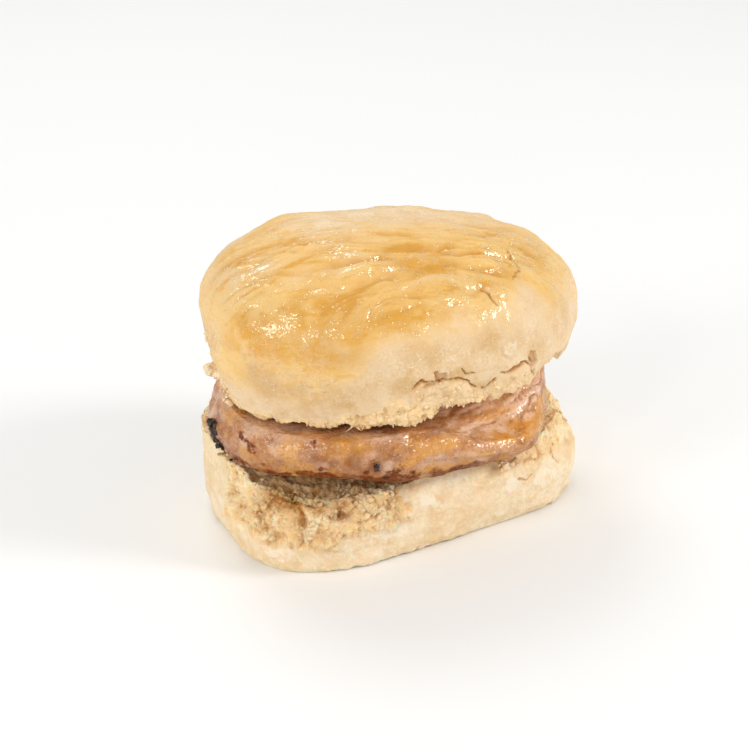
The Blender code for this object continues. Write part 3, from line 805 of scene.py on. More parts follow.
def heel_layers(points, around, forms):
    """Where the bottom half is golden, floured, torn and soaked with fat, and where shade is painted: in
    its holes, pores, cracks and under the patty.
    """
    torn, cut_end, on_top, big, grain, pores, hollow, cracks = forms
    z = points[..., 2]
    crumb = np.max([torn, on_top, 0.9 * cut_end], axis=0)
    flour = bumps(points, HEEL_FLOUR) * patchy(points, 2.6, 231, -0.7, 0.3, 4)
    thin = (1.0 - crumb) * (0.24 + 0.3 * patchy(points, 5.0, 235, -0.1, 0.8, 4))
    flour = np.maximum(1.15 * flour, thin)
    ragged = 1.4 * rough(points, 3.4, 241)
    # A band under the patty's front edge: partly fat soaked into the crumb, partly painted shade where the
    # patty shades it
    grease_and_shade = 0.5 * between(around + 3.0 * ragged, 205.0, 232.0, 6.0) * blend(z + ragged, 13.8, 16.0)
    # Fat stains along the top edge under the patty, which also carry painted shade
    stain = bumps(points, HEEL_STAINS)
    grease_and_shade = held(np.maximum(grease_and_shade, stain * (0.8 + 0.6 * rough(points, 1.8, 243))))
    # Painted shade from here: recesses and gaps of the torn crumb, pores of the cut face, cracks and the
    # hollow under the patty are darkened where shade falls
    golden = bumps(points, HEEL_RECESS_SHADE)
    golden = np.maximum(golden, 0.6 * patchy(points, 5.0, 242, 0.0, 0.8, 3)) * (1.0 - 0.6 * big)
    gaps = 1.0 - blend(0.75 * big + 0.25 * grain + 0.1 * rough(points, 3.0, 244), 0.14, 0.62)
    holes = torn * np.maximum(golden, gaps)
    end_gaps = np.maximum(blend(pores, 0.36, 0.08), 1.0 - blend(0.7 * big + 0.3 * grain, 0.16, 0.46))
    end_holes = np.maximum(cut_end, on_top) * end_gaps
    groove_shade = held(np.max([holes, 0.9 * end_holes, 0.8 * cracks, 0.3 * hollow], axis=0))
    gold = 0.7 * between(around, 150.0, 206.0, 16.0) * (1.0 - torn) * patchy(points, 7.0, 245, -0.8, 0.6)
    gold = np.maximum(gold, 0.8 * (1.0 - crumb) * patchy(points, 6.0, 247, 0.0, 0.8, 4))
    return {"gold": 0.42 * gold, "flour": flour, "torn": crumb, "groove_shade": groove_shade, "grease_and_shade": grease_and_shade}


# --------------------------------------------------------------------------------------------------
# Meshes


def sheet_faces(rows, columns):
    """Quads between the rows of a wound sheet and a fan of triangles at each pole."""
    row, column = np.meshgrid(np.arange(rows - 1), np.arange(columns), indexing="ij")
    onward = (column + 1) % columns
    quads = np.stack(
        [
            row * columns + column, row * columns + onward, (row + 1) * columns + onward,
            (row + 1) * columns + column,
        ],
        -1,
    )
    step = np.arange(columns)
    after = (step + 1) % columns
    low, high, last = rows * columns, rows * columns + 1, (rows - 1) * columns
    fans = np.concatenate([
        np.stack([np.full(columns, low), after, step], axis=-1),
        np.stack([np.full(columns, high), last + step, last + after], axis=-1),
    ])
    return quads.reshape(-1, 4), fans


def mesh_of(name, points, quads, triangles, layers, material, nodes=()):
    """A mesh from arrays, with one number per vertex for each named layer."""
    mesh = bpy.data.meshes.new(name)
    corners = np.concatenate([quads.ravel(), triangles.ravel()]).astype(np.int32)
    counts = np.concatenate([np.full(len(quads), 4), np.full(len(triangles), 3)])
    starts = np.concatenate([[0], np.cumsum(counts)[:-1]]).astype(np.int32)
    mesh.vertices.add(len(points))
    mesh.loops.add(len(corners))
    mesh.polygons.add(len(counts))
    mesh.vertices.foreach_set("co", ((points + PLAN_SHIFT) * MM).astype(np.float32).ravel())
    mesh.loops.foreach_set("vertex_index", corners)
    mesh.polygons.foreach_set("loop_start", starts)
    mesh.update(calc_edges=True)
    mesh.shade_smooth()
    for label, values in layers.items():
        layer = mesh.attributes.new(label, "FLOAT", "POINT")
        layer.data.foreach_set("value", np.asarray(values, np.float32).ravel())
    mesh.materials.append(material)
    mesh.validate()
    piece = bpy.data.objects.new(name, mesh)
    bpy.context.scene.collection.objects.link(piece)
    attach(piece, "root")
    for node in nodes:
        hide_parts(node)


def sheet_piece(name, sheet, material, node):
    """A wound sheet as a closed mesh in place of a node."""
    points, poles, layers = sheet
    rows, columns = points.shape[:2]
    quads, fans = sheet_faces(rows, columns)
    everything = np.concatenate([points.reshape(-1, 3), np.array(poles)])
    padded = {}
    for label, values in layers.items():
        padded[label] = np.concatenate([values.ravel(), [values[0].mean(), values[-1].mean()]])
    mesh_of(name, everything, quads, fans, padded, material, [node])


# Vertices of the ball that every crumb is made of
BALL_CORNERS = 42


def small_ball():
    """An icosahedron cut once: 42 vertices on the unit sphere and 80 triangles."""
    golden = (1.0 + 5.0**0.5) / 2.0
    corners = [(x * 1.0, y * golden, 0.0) for x in (-1, 1) for y in (-1, 1)]
    corners += [(0.0, c[0], c[1]) for c in corners] + [(c[1], 0.0, c[0]) for c in corners]
    corners = np.array(corners)
    apart = np.linalg.norm(corners[:, None] - corners[None], axis=-1)
    joined = np.isclose(apart, 2.0)
    triples = ((a, b, c) for a in range(12) for b in range(a) for c in range(b))
    faces = [(a, b, c) for a, b, c in triples if joined[a, b] and joined[b, c] and joined[a, c]]
    faces = np.array([f if np.linalg.det(corners[list(f)]) > 0 else f[::-1] for f in faces])
    edges = sorted({tuple(sorted((f[k], f[(k + 1) % 3]))) for f in faces.tolist() for k in range(3)})
    number = {edge: 12 + place for place, edge in enumerate(edges)}
    middles = np.array([(corners[a] + corners[b]) / 2.0 for a, b in edges])
    cut = []
    for a, b, c in faces.tolist():
        ab, bc, ca = (number[tuple(sorted(pair))] for pair in ((a, b), (b, c), (c, a)))
        cut += [(a, ab, ca), (b, bc, ab), (c, ca, bc), (ab, bc, ca)]
    ball = np.concatenate([corners, middles])
    return ball / np.linalg.norm(ball, axis=1, keepdims=True), np.array(cut)


def grains_at(places, radii, seed):
    """One lumpy ball at each place: a unit ball, stretched, turned and roughened for each grain."""
    chance = np.random.default_rng(seed)
    ball, faces = small_ball()
    count = len(places)
    stretch = chance.uniform(0.65, 1.25, (count, 1, 3))
    turns = np.linalg.qr(chance.normal(size=(count, 3, 3)))[0]
    turns *= np.sign(np.linalg.det(turns))[:, None, None]
    shift = chance.uniform(0.0, 90.0, (count, 1, 3))
    rough_ball = ball[None] * (1.0 + 0.6 * lumps(ball[None] * 1.6 + shift, 1.0, seed)[..., None])
    body = np.einsum("nij,nvj->nvi", turns, rough_ball * stretch) * radii[:, None, None] + places[:, None]
    triangles = faces[None] + (np.arange(count) * len(ball))[:, None, None]
    return body.reshape(-1, 3), triangles.reshape(-1, 3)


def chosen(sheet, weight, count, seed, lift):
    """Random places on a sheet, likelier where weight is high, lifted off it."""
    points = sheet[0]
    chance = np.random.default_rng(seed)
    weight = np.clip(weight, 0.0, None).ravel()
    picks = chance.choice(weight.size, size=count, replace=False, p=weight / weight.sum())
    outward = normals(points).reshape(-1, 3)[picks]
    return points.reshape(-1, 3)[picks] + outward * lift, picks


def heaps(marks, seed):
    """Places and radii of grains heaped about a few middles, with a bell-shaped spread on each axis."""
    chance = np.random.default_rng(seed)
    places = [
        np.array(middle) + np.clip(chance.normal(size=(count, 3)), -1.4, 1.4) * spread
        for middle, spread, count, _ in marks
    ]
    radii = [radius * chance.uniform(0.55, 1.3, count) for _, _, count, radius in marks]
    return np.concatenate(places), np.concatenate(radii)


def threads_at(roots, lengths, radii, seed):
    """Thin tapering threads: a tube of five sides along a path that bends sideways with the square of
    its share u, and whose radius falls as (1 - 0.95u)^0.7."""
    chance = np.random.default_rng(seed)
    count, rings, sides = len(roots), 6, 5
    share = np.linspace(0.0, 1.0, rings)[None, :, None, None]
    bend = chance.uniform(-0.6, 0.6, (count, 1, 1, 3)) * (1.0, 1.0, 0.2)
    lean = chance.uniform(-0.5, 0.5, (count, 1, 1, 3)) * (1.0, 1.0, 0.0) + (0.0, -0.25, -1.0)
    path = roots[:, None, None] + lengths[:, None, None, None] * (lean * share + bend * share**2)
    turn = np.arange(sides) * TAU / sides
    ring = np.stack([np.cos(turn), np.sin(turn), 0.0 * turn], axis=-1)
    thick = radii[:, None, None, None] * (1.0 - 0.95 * share) ** 0.7
    points = path + ring * thick
    place = (np.arange(count)[:, None, None] * rings + np.arange(rings - 1)[None, :, None]) * sides
    side = np.arange(sides)[None, None]
    onward = (side + 1) % sides
    quads = np.stack([place + side, place + sides + side, place + sides + onward, place + onward], axis=-1)
    start = np.arange(count)[:, None] * rings * sides
    step = np.arange(1, sides - 1)[None]
    root = np.stack([start + 0 * step, start + step, start + step + 1], axis=-1).reshape(-1, 3)
    tip = root[:, [0, 2, 1]] + (rings - 1) * sides
    return points.reshape(-1, 3), quads.reshape(-1, 4), np.concatenate([root, tip])


# --------------------------------------------------------------------------------------------------
# Shader maths


class Wire:
    """An output socket that can be used in arithmetic: each operation adds one Math node."""

    def __init__(self, finish, socket):
        self.finish, self.socket = finish, socket

    def maths(self, operation, *values, clamp=False):
        node = self.finish.node(
            "ShaderNodeMath", {"operation": operation, "use_clamp": clamp}, dict(enumerate(values))
        )
        return Wire(self.finish, node.outputs[0])

    def __add__(self, other):
        return self.maths("ADD", self, other)

    __radd__ = __add__

    def __sub__(self, other):
        return self.maths("SUBTRACT", self, other)

    def __rsub__(self, other):
        return self.maths("SUBTRACT", other, self)

    def __mul__(self, other):
        return self.maths("MULTIPLY", self, other)

    __rmul__ = __mul__

    def step(self, low, high):
        """0 below low, 1 above high, smooth between."""
        sockets = {"Value": self, "From Min": low, "From Max": high}
        node = self.finish.node("ShaderNodeMapRange", {"interpolation_type": "SMOOTHSTEP"}, sockets)
        return Wire(self.finish, node.outputs["Result"])

    def kept(self):
        """Held between 0 and 1."""
        return self.maths("ADD", self, 0.0, clamp=True)


class Finish:
    """A material in the making, whose methods add nodes to its tree."""

    def __init__(self, name):
        self.material = bpy.data.materials.new(name)
        self.material.use_nodes = True
        self.tree = self.material.node_tree
        self.tree.nodes.clear()
        self.place = Wire(self, self.node("ShaderNodeTexCoord").outputs["Object"])

    def node(self, kind, settings=None, sockets=None):
        made = self.tree.nodes.new(kind)
        for key, value in (settings or {}).items():
            setattr(made, key, value)
        for key, value in (sockets or {}).items():
            if isinstance(value, Wire):
                self.tree.links.new(value.socket, made.inputs[key])
            else:
                made.inputs[key].default_value = value
        return made

    def layer(self, label):
        return Wire(self, self.node("ShaderNodeAttribute", {"attribute_name": label}).outputs["Fac"])

    def noise(self, size, detail=3.0, roughness=0.55, stretch=(1.0, 1.0, 1.0), turned=0.0):
        """Noise in 0..1, its swells about size millimetres across and stretched along turned axes."""
        scale, rotation = tuple(size * MM * s for s in stretch), (0.0, 0.0, math.radians(turned))
        sockets = {"Vector": self.place, "Scale": scale, "Rotation": rotation}
        where = self.node("ShaderNodeMapping", {"vector_type": "TEXTURE"}, sockets)
        sockets = {"Vector": Wire(self, where.outputs[0]), "Scale": 1.0, "Detail": detail}
        node = self.node("ShaderNodeTexNoise", {}, {**sockets, "Roughness": roughness})
        return Wire(self, node.outputs["Fac"])

    def drops(self, size, cover):
        """Round drops about size millimetres apart: 1 on top of each, 0 beyond its cover."""
        sockets = {"Vector": self.place, "Scale": (1.0 / (size * MM),) * 3}
        where = self.node("ShaderNodeMapping", {}, sockets)
        node = self.node("ShaderNodeTexVoronoi", {}, {"Vector": Wire(self, where.outputs[0]), "Scale": 1.0})
        away = Wire(self, node.outputs["Distance"]) * (1.0 / cover)
        return (1.0 - away * away).kept()

    def mix(self, amount, first, second):
        """The first colour, turning into the second by the amount, which is held between 0 and 1."""
        first, second = (tint if isinstance(tint, Wire) else (*tint, 1.0) for tint in (first, second))
        settings = {"data_type": "RGBA", "clamp_factor": True}
        node = self.node("ShaderNodeMix", settings, {"Factor": amount, 6: first, 7: second})
        return Wire(self, node.outputs[2])

    def bumped(self, height):
        """A normal from a height in millimetres."""
        node = self.node("ShaderNodeBump", {}, {"Height": height, "Strength": 1.0, "Distance": MM})
        return Wire(self, node.outputs[0])

    def shade(self, sockets, film=None):
        """The finished material. A film is the share it covers and the sockets that differ under it."""
        surface = Wire(self, self.node("ShaderNodeBsdfPrincipled", {}, sockets).outputs[0])
        if film:
            share, changes = film
            covered = self.node("ShaderNodeBsdfPrincipled", {}, {**sockets, **changes})
            mixed = {0: share, 1: surface, 2: Wire(self, covered.outputs[0])}
            surface = Wire(self, self.node("ShaderNodeMixShader", {}, mixed).outputs[0])
        self.node("ShaderNodeOutputMaterial", {}, {"Surface": surface})
        return self.material


# --------------------------------------------------------------------------------------------------
# Materials


def crust_finish():
    """Buttered golden crust that fades to a dull cream wall, with flour, torn crumb, and shade painted dark
    brown into its cracks, dents, pits and crumb gaps.
    """
    shade, finish = bpy.context.scene.biscuit_colours, Finish("golden_crust")
    gold, deep, flour = finish.layer("gold"), finish.layer("deep"), finish.layer("flour")
    torn, groove_shade, butter = finish.layer("torn"), finish.layer("groove_shade"), finish.layer("butter")
    mottle, fine, speck = finish.noise(5.0, 4.0), finish.noise(1.2, 3.0), finish.noise(0.5, 2.0)
    streak = finish.noise(1.5, 4.0, 0.6, (5.0, 1.0, 1.0), -17.0).step(0.52, 0.68)
    uneven = mottle.step(0.3, 0.7) * 0.6
    tint = finish.mix(uneven + (fine - 0.5) * 0.6, shade.crust_pale, (0.74, 0.53, 0.315))
    baked = finish.mix(uneven + (fine - 0.3) * 0.8, (0.83, 0.555, 0.215), shade.crust_gold)
    tint = finish.mix(gold * (0.75 + 0.5 * fine), tint, baked)
    tint = finish.mix(finish.layer("tan") * (0.65 + 0.8 * fine), tint, (0.63, 0.405, 0.185))
    dry = 1.0 - gold
    tint = finish.mix((mottle * 0.4 + fine * 0.6).step(0.52, 0.66) * dry * 0.45, tint, (0.68, 0.43, 0.185))
    tint = finish.mix(speck.step(0.5, 0.7) * dry * 0.22, tint, (0.90, 0.74, 0.50))
    rich = (deep * (0.55 + 0.9 * fine) + gold * streak * 0.5).kept()
    tint = finish.mix(rich, tint, shade.crust_deep)
    inside = finish.mix(fine.step(0.3, 0.6), shade.crumb_cream, (0.94, 0.69, 0.39))
    tint = finish.mix(torn, tint, inside)
    dusted = flour * 1.1 + (mottle - 0.5) * 0.3 + (fine - 0.5) * 1.4 + (speck - 0.5) * 1.2
    dusted = dusted.step(0.15, 0.85) * 0.55
    tint = finish.mix(dusted, tint, shade.flour_white)
    # Painted shade: dark brown in the cracks, dents, pits, crease bottoms and crumb gaps
    tint = finish.mix(groove_shade * (0.65 + 0.6 * fine), tint, (0.44, 0.17, 0.025))
    film = finish.noise(3.2, 2.0).step(0.36, 0.52) * 0.6 + finish.noise(0.9, 1.0).step(0.4, 0.55) * 0.5
    wet = (butter * film).step(0.25, 0.6)
    drops = finish.drops(1.1, 0.34) * wet
    height = (
        finish.noise(1.7, 2.0) * 0.16 + finish.noise(0.6, 1.0) * 0.07 + drops * 0.12
        + finish.noise(0.45, 2.0) * dry * 0.12
    )
    height = height + (finish.drops(1.1, 0.7) * 0.25 + finish.noise(0.5, 3.0) * 0.35) * torn + dusted * 0.06
    return finish.shade(
        {"Subsurface Weight": 0.15, "Subsurface Radius": (1.0, 0.5, 0.22), "Subsurface Scale": 0.001,
         "Specular IOR Level": 0.25, "Specular Tint": (1.0, 0.9, 0.75, 1.0),
         "Base Color": tint, "Roughness": 0.62, "Normal": finish.bumped(height)},
        (wet.kept(),
         {"Specular IOR Level": 1.0, "Specular Tint": (1.0, 0.98, 0.93, 1.0), "Roughness": 0.1}),
    )


def crumb_finish(name="pale_crumb", soft=0.6):
    """Dull floury crust and torn crumb, with golden-brown shade painted into its hollows, gaps and pores,
    and fat stains that also carry painted shade under the patty.
    """
    shade, finish = bpy.context.scene.biscuit_colours, Finish(name)
    gold, flour, torn = finish.layer("gold"), finish.layer("flour"), finish.layer("torn")
    groove_shade, grease_and_shade = finish.layer("groove_shade"), finish.layer("grease_and_shade")
    mottle, fine, speck = finish.noise(4.0, 4.0), finish.noise(1.1, 3.0), finish.noise(0.5, 2.0)
    tint = finish.mix((mottle * 0.7 + fine * 0.3).step(0.35, 0.65), (0.78, 0.59, 0.36), (0.86, 0.69, 0.48))
    tint = finish.mix(gold * (0.5 + 0.9 * fine), tint, (0.74, 0.46, 0.18))
    inside = finish.mix(mottle.step(0.35, 0.65) * 0.6 + fine * 0.5, (0.86, 0.56, 0.25), (1.0, 0.80, 0.52))
    tint = finish.mix(torn, tint, inside)
    dusted = flour + (mottle - 0.5) * 0.35 + (fine - 0.5) * 1.2 + (speck - 0.5) * 1.2
    dusted = dusted.step(0.15, 0.9) * 0.9
    tint = finish.mix(dusted, tint, shade.flour_white)
    # Painted shade: golden brown in the gaps, pores, cracks and hollows of the crumb
    tint = finish.mix(groove_shade * (0.6 + 0.6 * fine), tint, (0.52, 0.215, 0.032))
    # Fat soaked into the crumb, and painted shade under the patty's edge
    tint = finish.mix(grease_and_shade * (0.4 + 0.8 * mottle), tint, shade.crumb_shade)
    height = (
        finish.noise(0.8, 3.0) * 0.26 + finish.noise(0.3, 1.0) * 0.06
        + (finish.drops(1.0, 0.7) * 0.2 + finish.noise(0.6, 3.0) * 0.35) * torn * (1.0 - 0.8 * grease_and_shade)
    )
    return finish.shade(
        {"Subsurface Weight": soft, "Subsurface Radius": (1.0, 0.55, 0.25), "Subsurface Scale": 0.0022,
         "Specular IOR Level": 0.16, "Specular Tint": (1.0, 0.8, 0.5, 1.0),
         "Base Color": tint, "Roughness": (0.85 - 0.45 * grease_and_shade).kept(), "Normal": finish.bumped(height)}
    )


def meat_finish():
    """Greasy fried sausage: pink-tan meat, amber fat, brown specks and char under a wet film."""
    shade, finish = bpy.context.scene.biscuit_colours, Finish("browned_sausage")
    brown, amber, pink = finish.layer("brown"), finish.layer("amber"), finish.layer("pink")
    char, seam = finish.layer("char"), finish.layer("seam")
    mottle, fine, speck = finish.noise(3.2, 4.0), finish.noise(1.0, 3.0), finish.noise(0.45, 2.0)
    uneven = mottle.step(0.35, 0.7) * 0.7 + (fine - 0.4) * 1.5
    tint = finish.mix(uneven, shade.meat_tan, (0.47, 0.215, 0.085))
    tint = finish.mix(finish.noise(4.6, 3.0).step(0.44, 0.62) * 0.75, tint, (0.31, 0.12, 0.042))
    tint = finish.mix(pink * (0.45 + 0.9 * fine), tint, shade.meat_pink)
    tint = finish.mix(amber * (0.5 + 0.9 * fine), tint, (0.77, 0.37, 0.05))
    tint = finish.mix((amber + mottle * 0.6) * 1.8 - 1.7, tint, shade.meat_amber)
    tint = finish.mix(seam * 0.35, tint, (0.50, 0.19, 0.06))
    tint = finish.mix(speck.step(0.5, 0.68) * 0.3, tint, (0.82, 0.54, 0.33))
    tint = finish.mix(finish.noise(2.2, 3.0).step(0.52, 0.68) * 0.25, tint, (0.76, 0.42, 0.21))
    tint = finish.mix(finish.noise(1.2, 3.0).step(0.56, 0.68) * 0.45, tint, (0.40, 0.12, 0.025))
    tint = finish.mix(brown * (1.5 * fine + 0.9 * speck - 0.25), tint, shade.meat_brown)
    tint = finish.mix(char, tint, shade.char_black)
    wet = finish.noise(2.8, 2.0).step(0.36, 0.5)
    height = (
        finish.noise(1.6, 2.0) * 0.24 + finish.noise(0.7, 1.0) * 0.12 + finish.drops(0.9, 0.5) * wet * 0.1
        + char * finish.noise(0.6, 2.0) * 0.4
    )
    return finish.shade(
        {"Subsurface Weight": 0.3, "Subsurface Radius": (1.0, 0.4, 0.2), "Subsurface Scale": 0.0018,
         "Specular IOR Level": 0.15, "Specular Tint": (1.0, 0.8, 0.6, 1.0),
         "Base Color": tint, "Roughness": 0.5, "Normal": finish.bumped(height)},
        ((wet * (1.0 - 0.8 * brown) * (1.0 - 0.6 * char)).kept(),
         {"Specular IOR Level": 0.8, "Specular Tint": (1.0, 0.96, 0.9, 1.0), "Roughness": 0.13}),
    )


def char_finish():
    """Glossy black char with a little brown left in it."""
    shade, finish = bpy.context.scene.biscuit_colours, Finish("charred_meat")
    fine = finish.noise(0.8, 3.0)
    tint = finish.mix(fine.step(0.45, 0.7), shade.char_black, (0.13, 0.05, 0.02))
    normal = finish.bumped(finish.noise(0.5, 2.0) * 0.3)
    gloss = (0.16 + 0.4 * fine).kept()
    return finish.shade(
        {"Specular IOR Level": 0.4, "Base Color": tint, "Roughness": gloss, "Normal": normal}
    )


# --------------------------------------------------------------------------------------------------
# Operators

# The sheets of the two halves, which the loose crumbs and threads lie on
SHEETS = {}
# Rows of the top half's sheet along its lower edge
LIP_ROWS = slice(5, 9)

# Heaps of crumbs: middle, spread along each axis, count and radius
CRUMB_HEAPS = (
    ((-41.3, 3, 39.3), (0.6, 0.6, 0.6), 12, 1), ((-39.6, 2.4, 36.8), (0.5, 1.2, 1), 12, 0.45),
    ((-38.8, 2, 32.6), (0.4, 1, 1.2), 12, 0.35), ((11.6, -29, 15.4), (1.2, 0.5, 0.5), 10, 0.5),
    ((-41.1, 4, 46.4), (0.2, 0.5, 0.8), 7, 0.5),
)

# Heaps of burnt lumps, in the same way
CHAR_HEAPS = (
    ((-41, 5.6, 24.8), (0.4, 0.7, 0.8), 26, 0.72), ((-41.2, 3.6, 23.6), (0.35, 0.8, 0.9), 34, 0.76),
    ((-41.2, 1.6, 22.2), (0.3, 0.5, 0.5), 12, 0.5), ((-20.3, -31, 24.3), (0.3, 0.25, 0.4), 12, 0.34),
    ((-41.2, -3.4, 20.5), (0.3, 0.5, 0.2), 6, 0.26),
)


class TopHalf(bpy.types.Operator):
    """Bake the top half: a buttered dome with creases, a cracked front wall and a broken lower edge"""

    bl_idname = "biscuit.top_half"
    bl_label = "Top Half"

    def execute(self, context):
        SHEETS["crown"] = crown_sheet()
        sheet_piece("crown_crust", SHEETS["crown"], crust_finish(), "biscuit_top")
        return {"FINISHED"}


class SausagePatty(bpy.types.Operator):
    """Fry the sausage patty: a thick greasy oval with a rounded side"""

    bl_idname = "biscuit.sausage_patty"
    bl_label = "Sausage Patty"

    def execute(self, context):
        sheet_piece("fried_patty", patty_sheet(), meat_finish(), "sausage_patty")
        return {"FINISHED"}


class BottomHalf(bpy.types.Operator):
    """Bake the bottom half: a floury oblong with its front left torn open"""

    bl_idname = "biscuit.bottom_half"
    bl_label = "Bottom Half"

    def execute(self, context):
        SHEETS["heel"] = heel_sheet()
        sheet_piece("heel_crust", SHEETS["heel"], crumb_finish(), "biscuit_bottom")
        return {"FINISHED"}


class TornCrumbs(bpy.types.Operator):
    """Scatter crumbs over the torn bread of both halves"""

    bl_idname = "biscuit.torn_crumbs"
    bl_label = "Torn Crumbs"

    def execute(self, context):
        count = sizes().crumb_count
        chance = np.random.default_rng(7)
        heel, crown = SHEETS["heel"], SHEETS["crown"]
        around = turn_about(heel[0], mm(sizes().heel_middle))
        torn = torn_share(heel[0], around) * (1.0 - heel[2]["groove_shade"]) * (1.0 - 0.7 * heel[2]["grease_and_shade"])
        right_end = between(around, 296.0, 345.0, 6.0) * blend(heel[0][..., 2], 12.0, 14.0)
        torn += 0.25 * heel[2]["torn"] * right_end
        places, picks = chosen(heel, torn, count * 2 // 3, 11, -0.05)
        radii = np.clip(chance.lognormal(-1.25, 0.5, len(places)), 0.12, 0.75)
        height = crown[0][..., 2]
        broken = crown[2]["torn"] * (1.0 - 0.7 * crown[2]["groove_shade"])
        broken = broken * blend(height, 30.9, 31.4) * (height < 46.0)
        edge_places, edge_picks = chosen(crown, broken, count // 3, 13, -0.03)
        edge_radii = np.clip(chance.lognormal(-1.4, 0.45, len(edge_places)), 0.12, 0.55)
        heap_places, heap_radii = heaps(CRUMB_HEAPS, 43)
        places = np.concatenate([places, edge_places, heap_places])
        radii = np.concatenate([radii, edge_radii, heap_radii])
        keep = places[:, 2] - radii > 0.1
        none = 0.0 * heap_radii
        # Each crumb takes the fat stain and painted shade of the bread under it
        grease_and_shade = np.concatenate([heel[2]["grease_and_shade"].ravel()[picks], 0.0 * edge_radii, none])[keep]
        # Each crumb takes the painted shade of the bread under it at half strength
        groove_shade = heel[2]["groove_shade"].ravel()[picks], crown[2]["groove_shade"].ravel()[edge_picks], none
        groove_shade = 0.5 * np.concatenate(groove_shade)[keep]
        points, triangles = grains_at(places[keep], radii[keep], 17)
        ones = np.ones((keep.sum(), BALL_CORNERS))
        flour = np.concatenate([0.0 * radii[:-len(heap_radii)], 0.4 + none])[keep]
        spread = {
            "torn": ones, "grease_and_shade": ones * grease_and_shade[:, None], "groove_shade": ones * groove_shade[:, None],
            "gold": 0 * ones, "flour": ones * flour[:, None],
        }
        mesh_of(
            "torn_crumbs", points, np.zeros((0, 4), int), triangles, spread,
            crumb_finish("crumb_grains", 0.0),
        )
        return {"FINISHED"}


class LipFringe(bpy.types.Operator):
    """Hang thin threads of crumb from the torn lower edge of the top half"""

    bl_idname = "biscuit.lip_fringe"
    bl_label = "Lip Fringe"

    def execute(self, context):
        lip = SHEETS["crown"][0][LIP_ROWS]
        chance = np.random.default_rng(51)
        around = turn_about(lip, mm(sizes().crown_middle))
        weight = 0.25 + near(around, 238.0, 8.0) + near(around, 262.0, 7.0) + near(around, 207.0, 6.0)
        weight = (weight * between(around, 196.0, 297.0, 4.0)).ravel()
        weight = weight / weight.sum()
        picks = chance.choice(weight.size, size=sizes().thread_count, replace=False, p=weight)
        roots = lip.reshape(-1, 3)[picks] + (0.0, 0.0, 0.25)
        lengths = np.clip(chance.lognormal(-0.3, 0.4, len(roots)), 0.4, 1.5)
        points, quads, caps = threads_at(roots, lengths, chance.uniform(0.25, 0.5, len(roots)), 53)
        ones = np.ones(len(points))
        layers = {"torn": ones, "flour": 0.4 * ones}
        layers.update({name: 0 * ones for name in ("grease_and_shade", "groove_shade", "gold")})
        mesh_of("lip_fringe", points, quads, caps, layers, crumb_finish("crumb_threads", 0.0))
        return {"FINISHED"}


class CharredBits(bpy.types.Operator):
    """Set the burnt lumps on the left end and the front of the patty"""

    bl_idname = "biscuit.charred_bits"
    bl_label = "Charred Bits"

    def execute(self, context):
        places, radii = heaps(CHAR_HEAPS, 29)
        points, triangles = grains_at(places, radii, 31)
        quads = np.zeros((0, 4), int)
        mesh_of("charred_bits", points, quads, triangles, {}, char_finish())
        return {"FINISHED"}


# Side of the floor and light of the world
FLOOR_SIZE = 6.0
WORLD_COLOUR = (1.0, 1.0, 0.99, 1.0)
WORLD_STRENGTH = 0.61

# Round lamps, all turned to a point over the floor: name, place, size, power and tint
LAMP_AIM = (0.0, 0.0, 0.03)
LAMPS = (
    ("key_left", (-0.80, -0.15, 0.34), 0.36, 2.1, (1.0, 1.0, 0.99)),
    ("key_front", (-0.58, -0.47, 0.46), 0.11, 0.57, (1.0, 1.0, 0.99)),
    ("key_low", (-0.44, -0.80, 0.15), 0.08, 0.45, (1.0, 1.0, 0.99)),
    ("back_top", (0.06, 0.64, 0.77), 0.5, 2.5, (1.0, 1.0, 1.0)),
    ("fill_right", (0.62, -0.55, 0.5), 0.28, 3.9, (1.0, 0.99, 0.98)),
)

# The camera in degrees: its azimuth, elevation, roll and angle of view
CAMERA_TURN, CAMERA_RISE, CAMERA_ROLL, CAMERA_VIEW = -26.655, 22.93, 3.04, 22.0
# Its distance from the point it looks at, and the shares of the picture it is shifted by
CAMERA_AWAY, CAMERA_AIM = 0.42565, (0.0, 0.0, 0.032)
CAMERA_SHIFT = (-0.0307, -0.0188)
# Width of its sensor in millimetres
SENSOR = 36.0


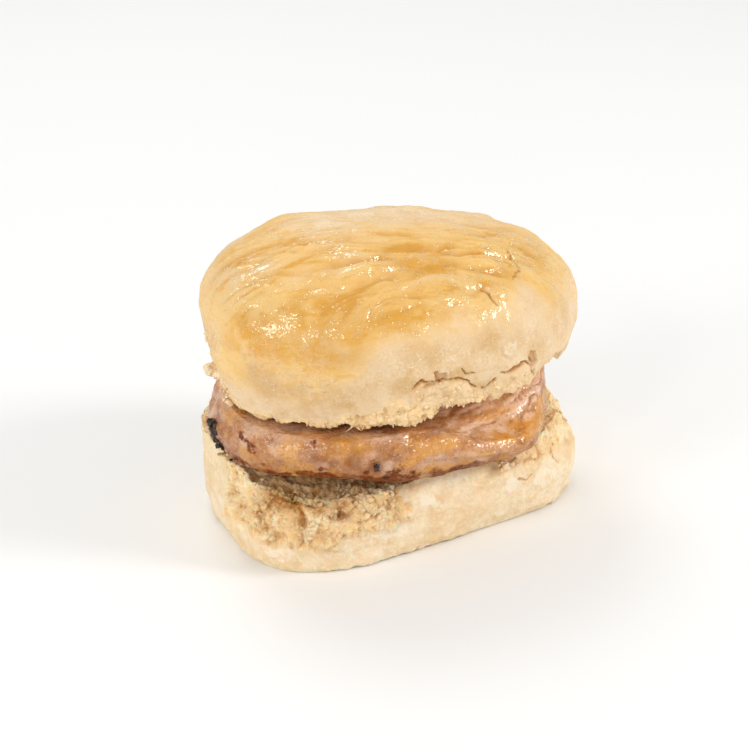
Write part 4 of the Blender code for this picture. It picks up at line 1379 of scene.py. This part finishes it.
class Stage(bpy.types.Operator):
    """Set the pale floor, the soft lights and the camera"""

    bl_idname = "biscuit.stage"
    bl_label = "Stage"

    def execute(self, context):
        scene = context.scene
        floor_finish = Finish("pale_floor")
        floor_finish.shade({"Roughness": 0.6, "Base Color": (0.9, 0.9, 0.895, 1.0)})
        bpy.ops.mesh.primitive_plane_add(size=FLOOR_SIZE, location=(0.0, 0.0, 0.0))
        floor = context.object
        floor.name = "floor"
        floor.data.materials.append(floor_finish.material)
        world = bpy.data.worlds.new("studio")
        world.use_nodes = True
        sockets = world.node_tree.nodes["Background"].inputs
        sockets["Color"].default_value, sockets["Strength"].default_value = WORLD_COLOUR, WORLD_STRENGTH
        scene.world = world
        for lamp in LAMPS:
            self.light(*lamp)
        self.camera(scene)
        scene.view_settings.view_transform = "Standard"
        return {"FINISHED"}

    def light(self, name, place, size, power, tint):
        lamp = bpy.data.lights.new(name, "AREA")
        lamp.shape, lamp.size, lamp.energy, lamp.color = "DISK", size, power, tint
        holder = bpy.data.objects.new(name, lamp)
        facing = (Vector(place) - Vector(LAMP_AIM)).to_track_quat("Z", "Y").to_matrix().to_4x4()
        holder.matrix_world = Matrix.Translation(place) @ facing
        bpy.context.scene.collection.objects.link(holder)

    def camera(self, scene):
        """Stands off the biscuit at the photograph's azimuth and elevation, rolled to its level."""
        turn, rise, roll = (math.radians(angle) for angle in (CAMERA_TURN, CAMERA_RISE, CAMERA_ROLL))
        away = Vector((math.sin(turn) * math.cos(rise), -math.cos(turn) * math.cos(rise), math.sin(rise)))
        lens = bpy.data.cameras.new("camera")
        lens.sensor_width = SENSOR
        lens.lens = SENSOR / 2.0 / math.tan(math.radians(CAMERA_VIEW / 2.0))
        lens.shift_x, lens.shift_y = CAMERA_SHIFT
        lens.clip_start = 0.01
        holder = bpy.data.objects.new("camera", lens)
        turned = away.to_track_quat("Z", "Y").to_matrix().to_4x4() @ Matrix.Rotation(-roll, 4, "Z")
        holder.matrix_world = Matrix.Translation(away * CAMERA_AWAY + Vector(CAMERA_AIM)) @ turned
        scene.collection.objects.link(holder)
        scene.camera = holder


class BiscuitPanel(bpy.types.Panel):
    """Lists the pieces of the biscuit"""

    bl_idname = "VIEW3D_PT_biscuit"
    bl_label = "Sausage Biscuit"
    bl_space_type = "VIEW_3D"
    bl_region_type = "UI"
    bl_category = "Biscuit"

    def draw(self, context):
        layout = self.layout
        for group in (context.scene.biscuit_sizes, context.scene.biscuit_colours):
            box = layout.box()
            for name in group.__annotations__:
                box.prop(group, name)
        for operator in OPERATORS:
            layout.operator(operator.bl_idname)


OPERATORS = (TopHalf, SausagePatty, BottomHalf, TornCrumbs, LipFringe, CharredBits, Stage)
CLASSES = (BiscuitSizes, BiscuitColours, *OPERATORS, BiscuitPanel)


def register():
    for entry in CLASSES:
        bpy.utils.register_class(entry)
    bpy.types.Scene.biscuit_sizes = PointerProperty(type=BiscuitSizes)
    bpy.types.Scene.biscuit_colours = PointerProperty(type=BiscuitColours)


def unregister():
    del bpy.types.Scene.biscuit_colours
    del bpy.types.Scene.biscuit_sizes
    for entry in reversed(CLASSES):
        bpy.utils.unregister_class(entry)


def main():
    """Makes every piece and the stage."""
    register()
    bpy.ops.biscuit.top_half()
    bpy.ops.biscuit.sausage_patty()
    bpy.ops.biscuit.bottom_half()
    bpy.ops.biscuit.torn_crumbs()
    bpy.ops.biscuit.lip_fringe()
    bpy.ops.biscuit.charred_bits()
    bpy.ops.biscuit.stage()


if __name__ == "__main__":
    main()
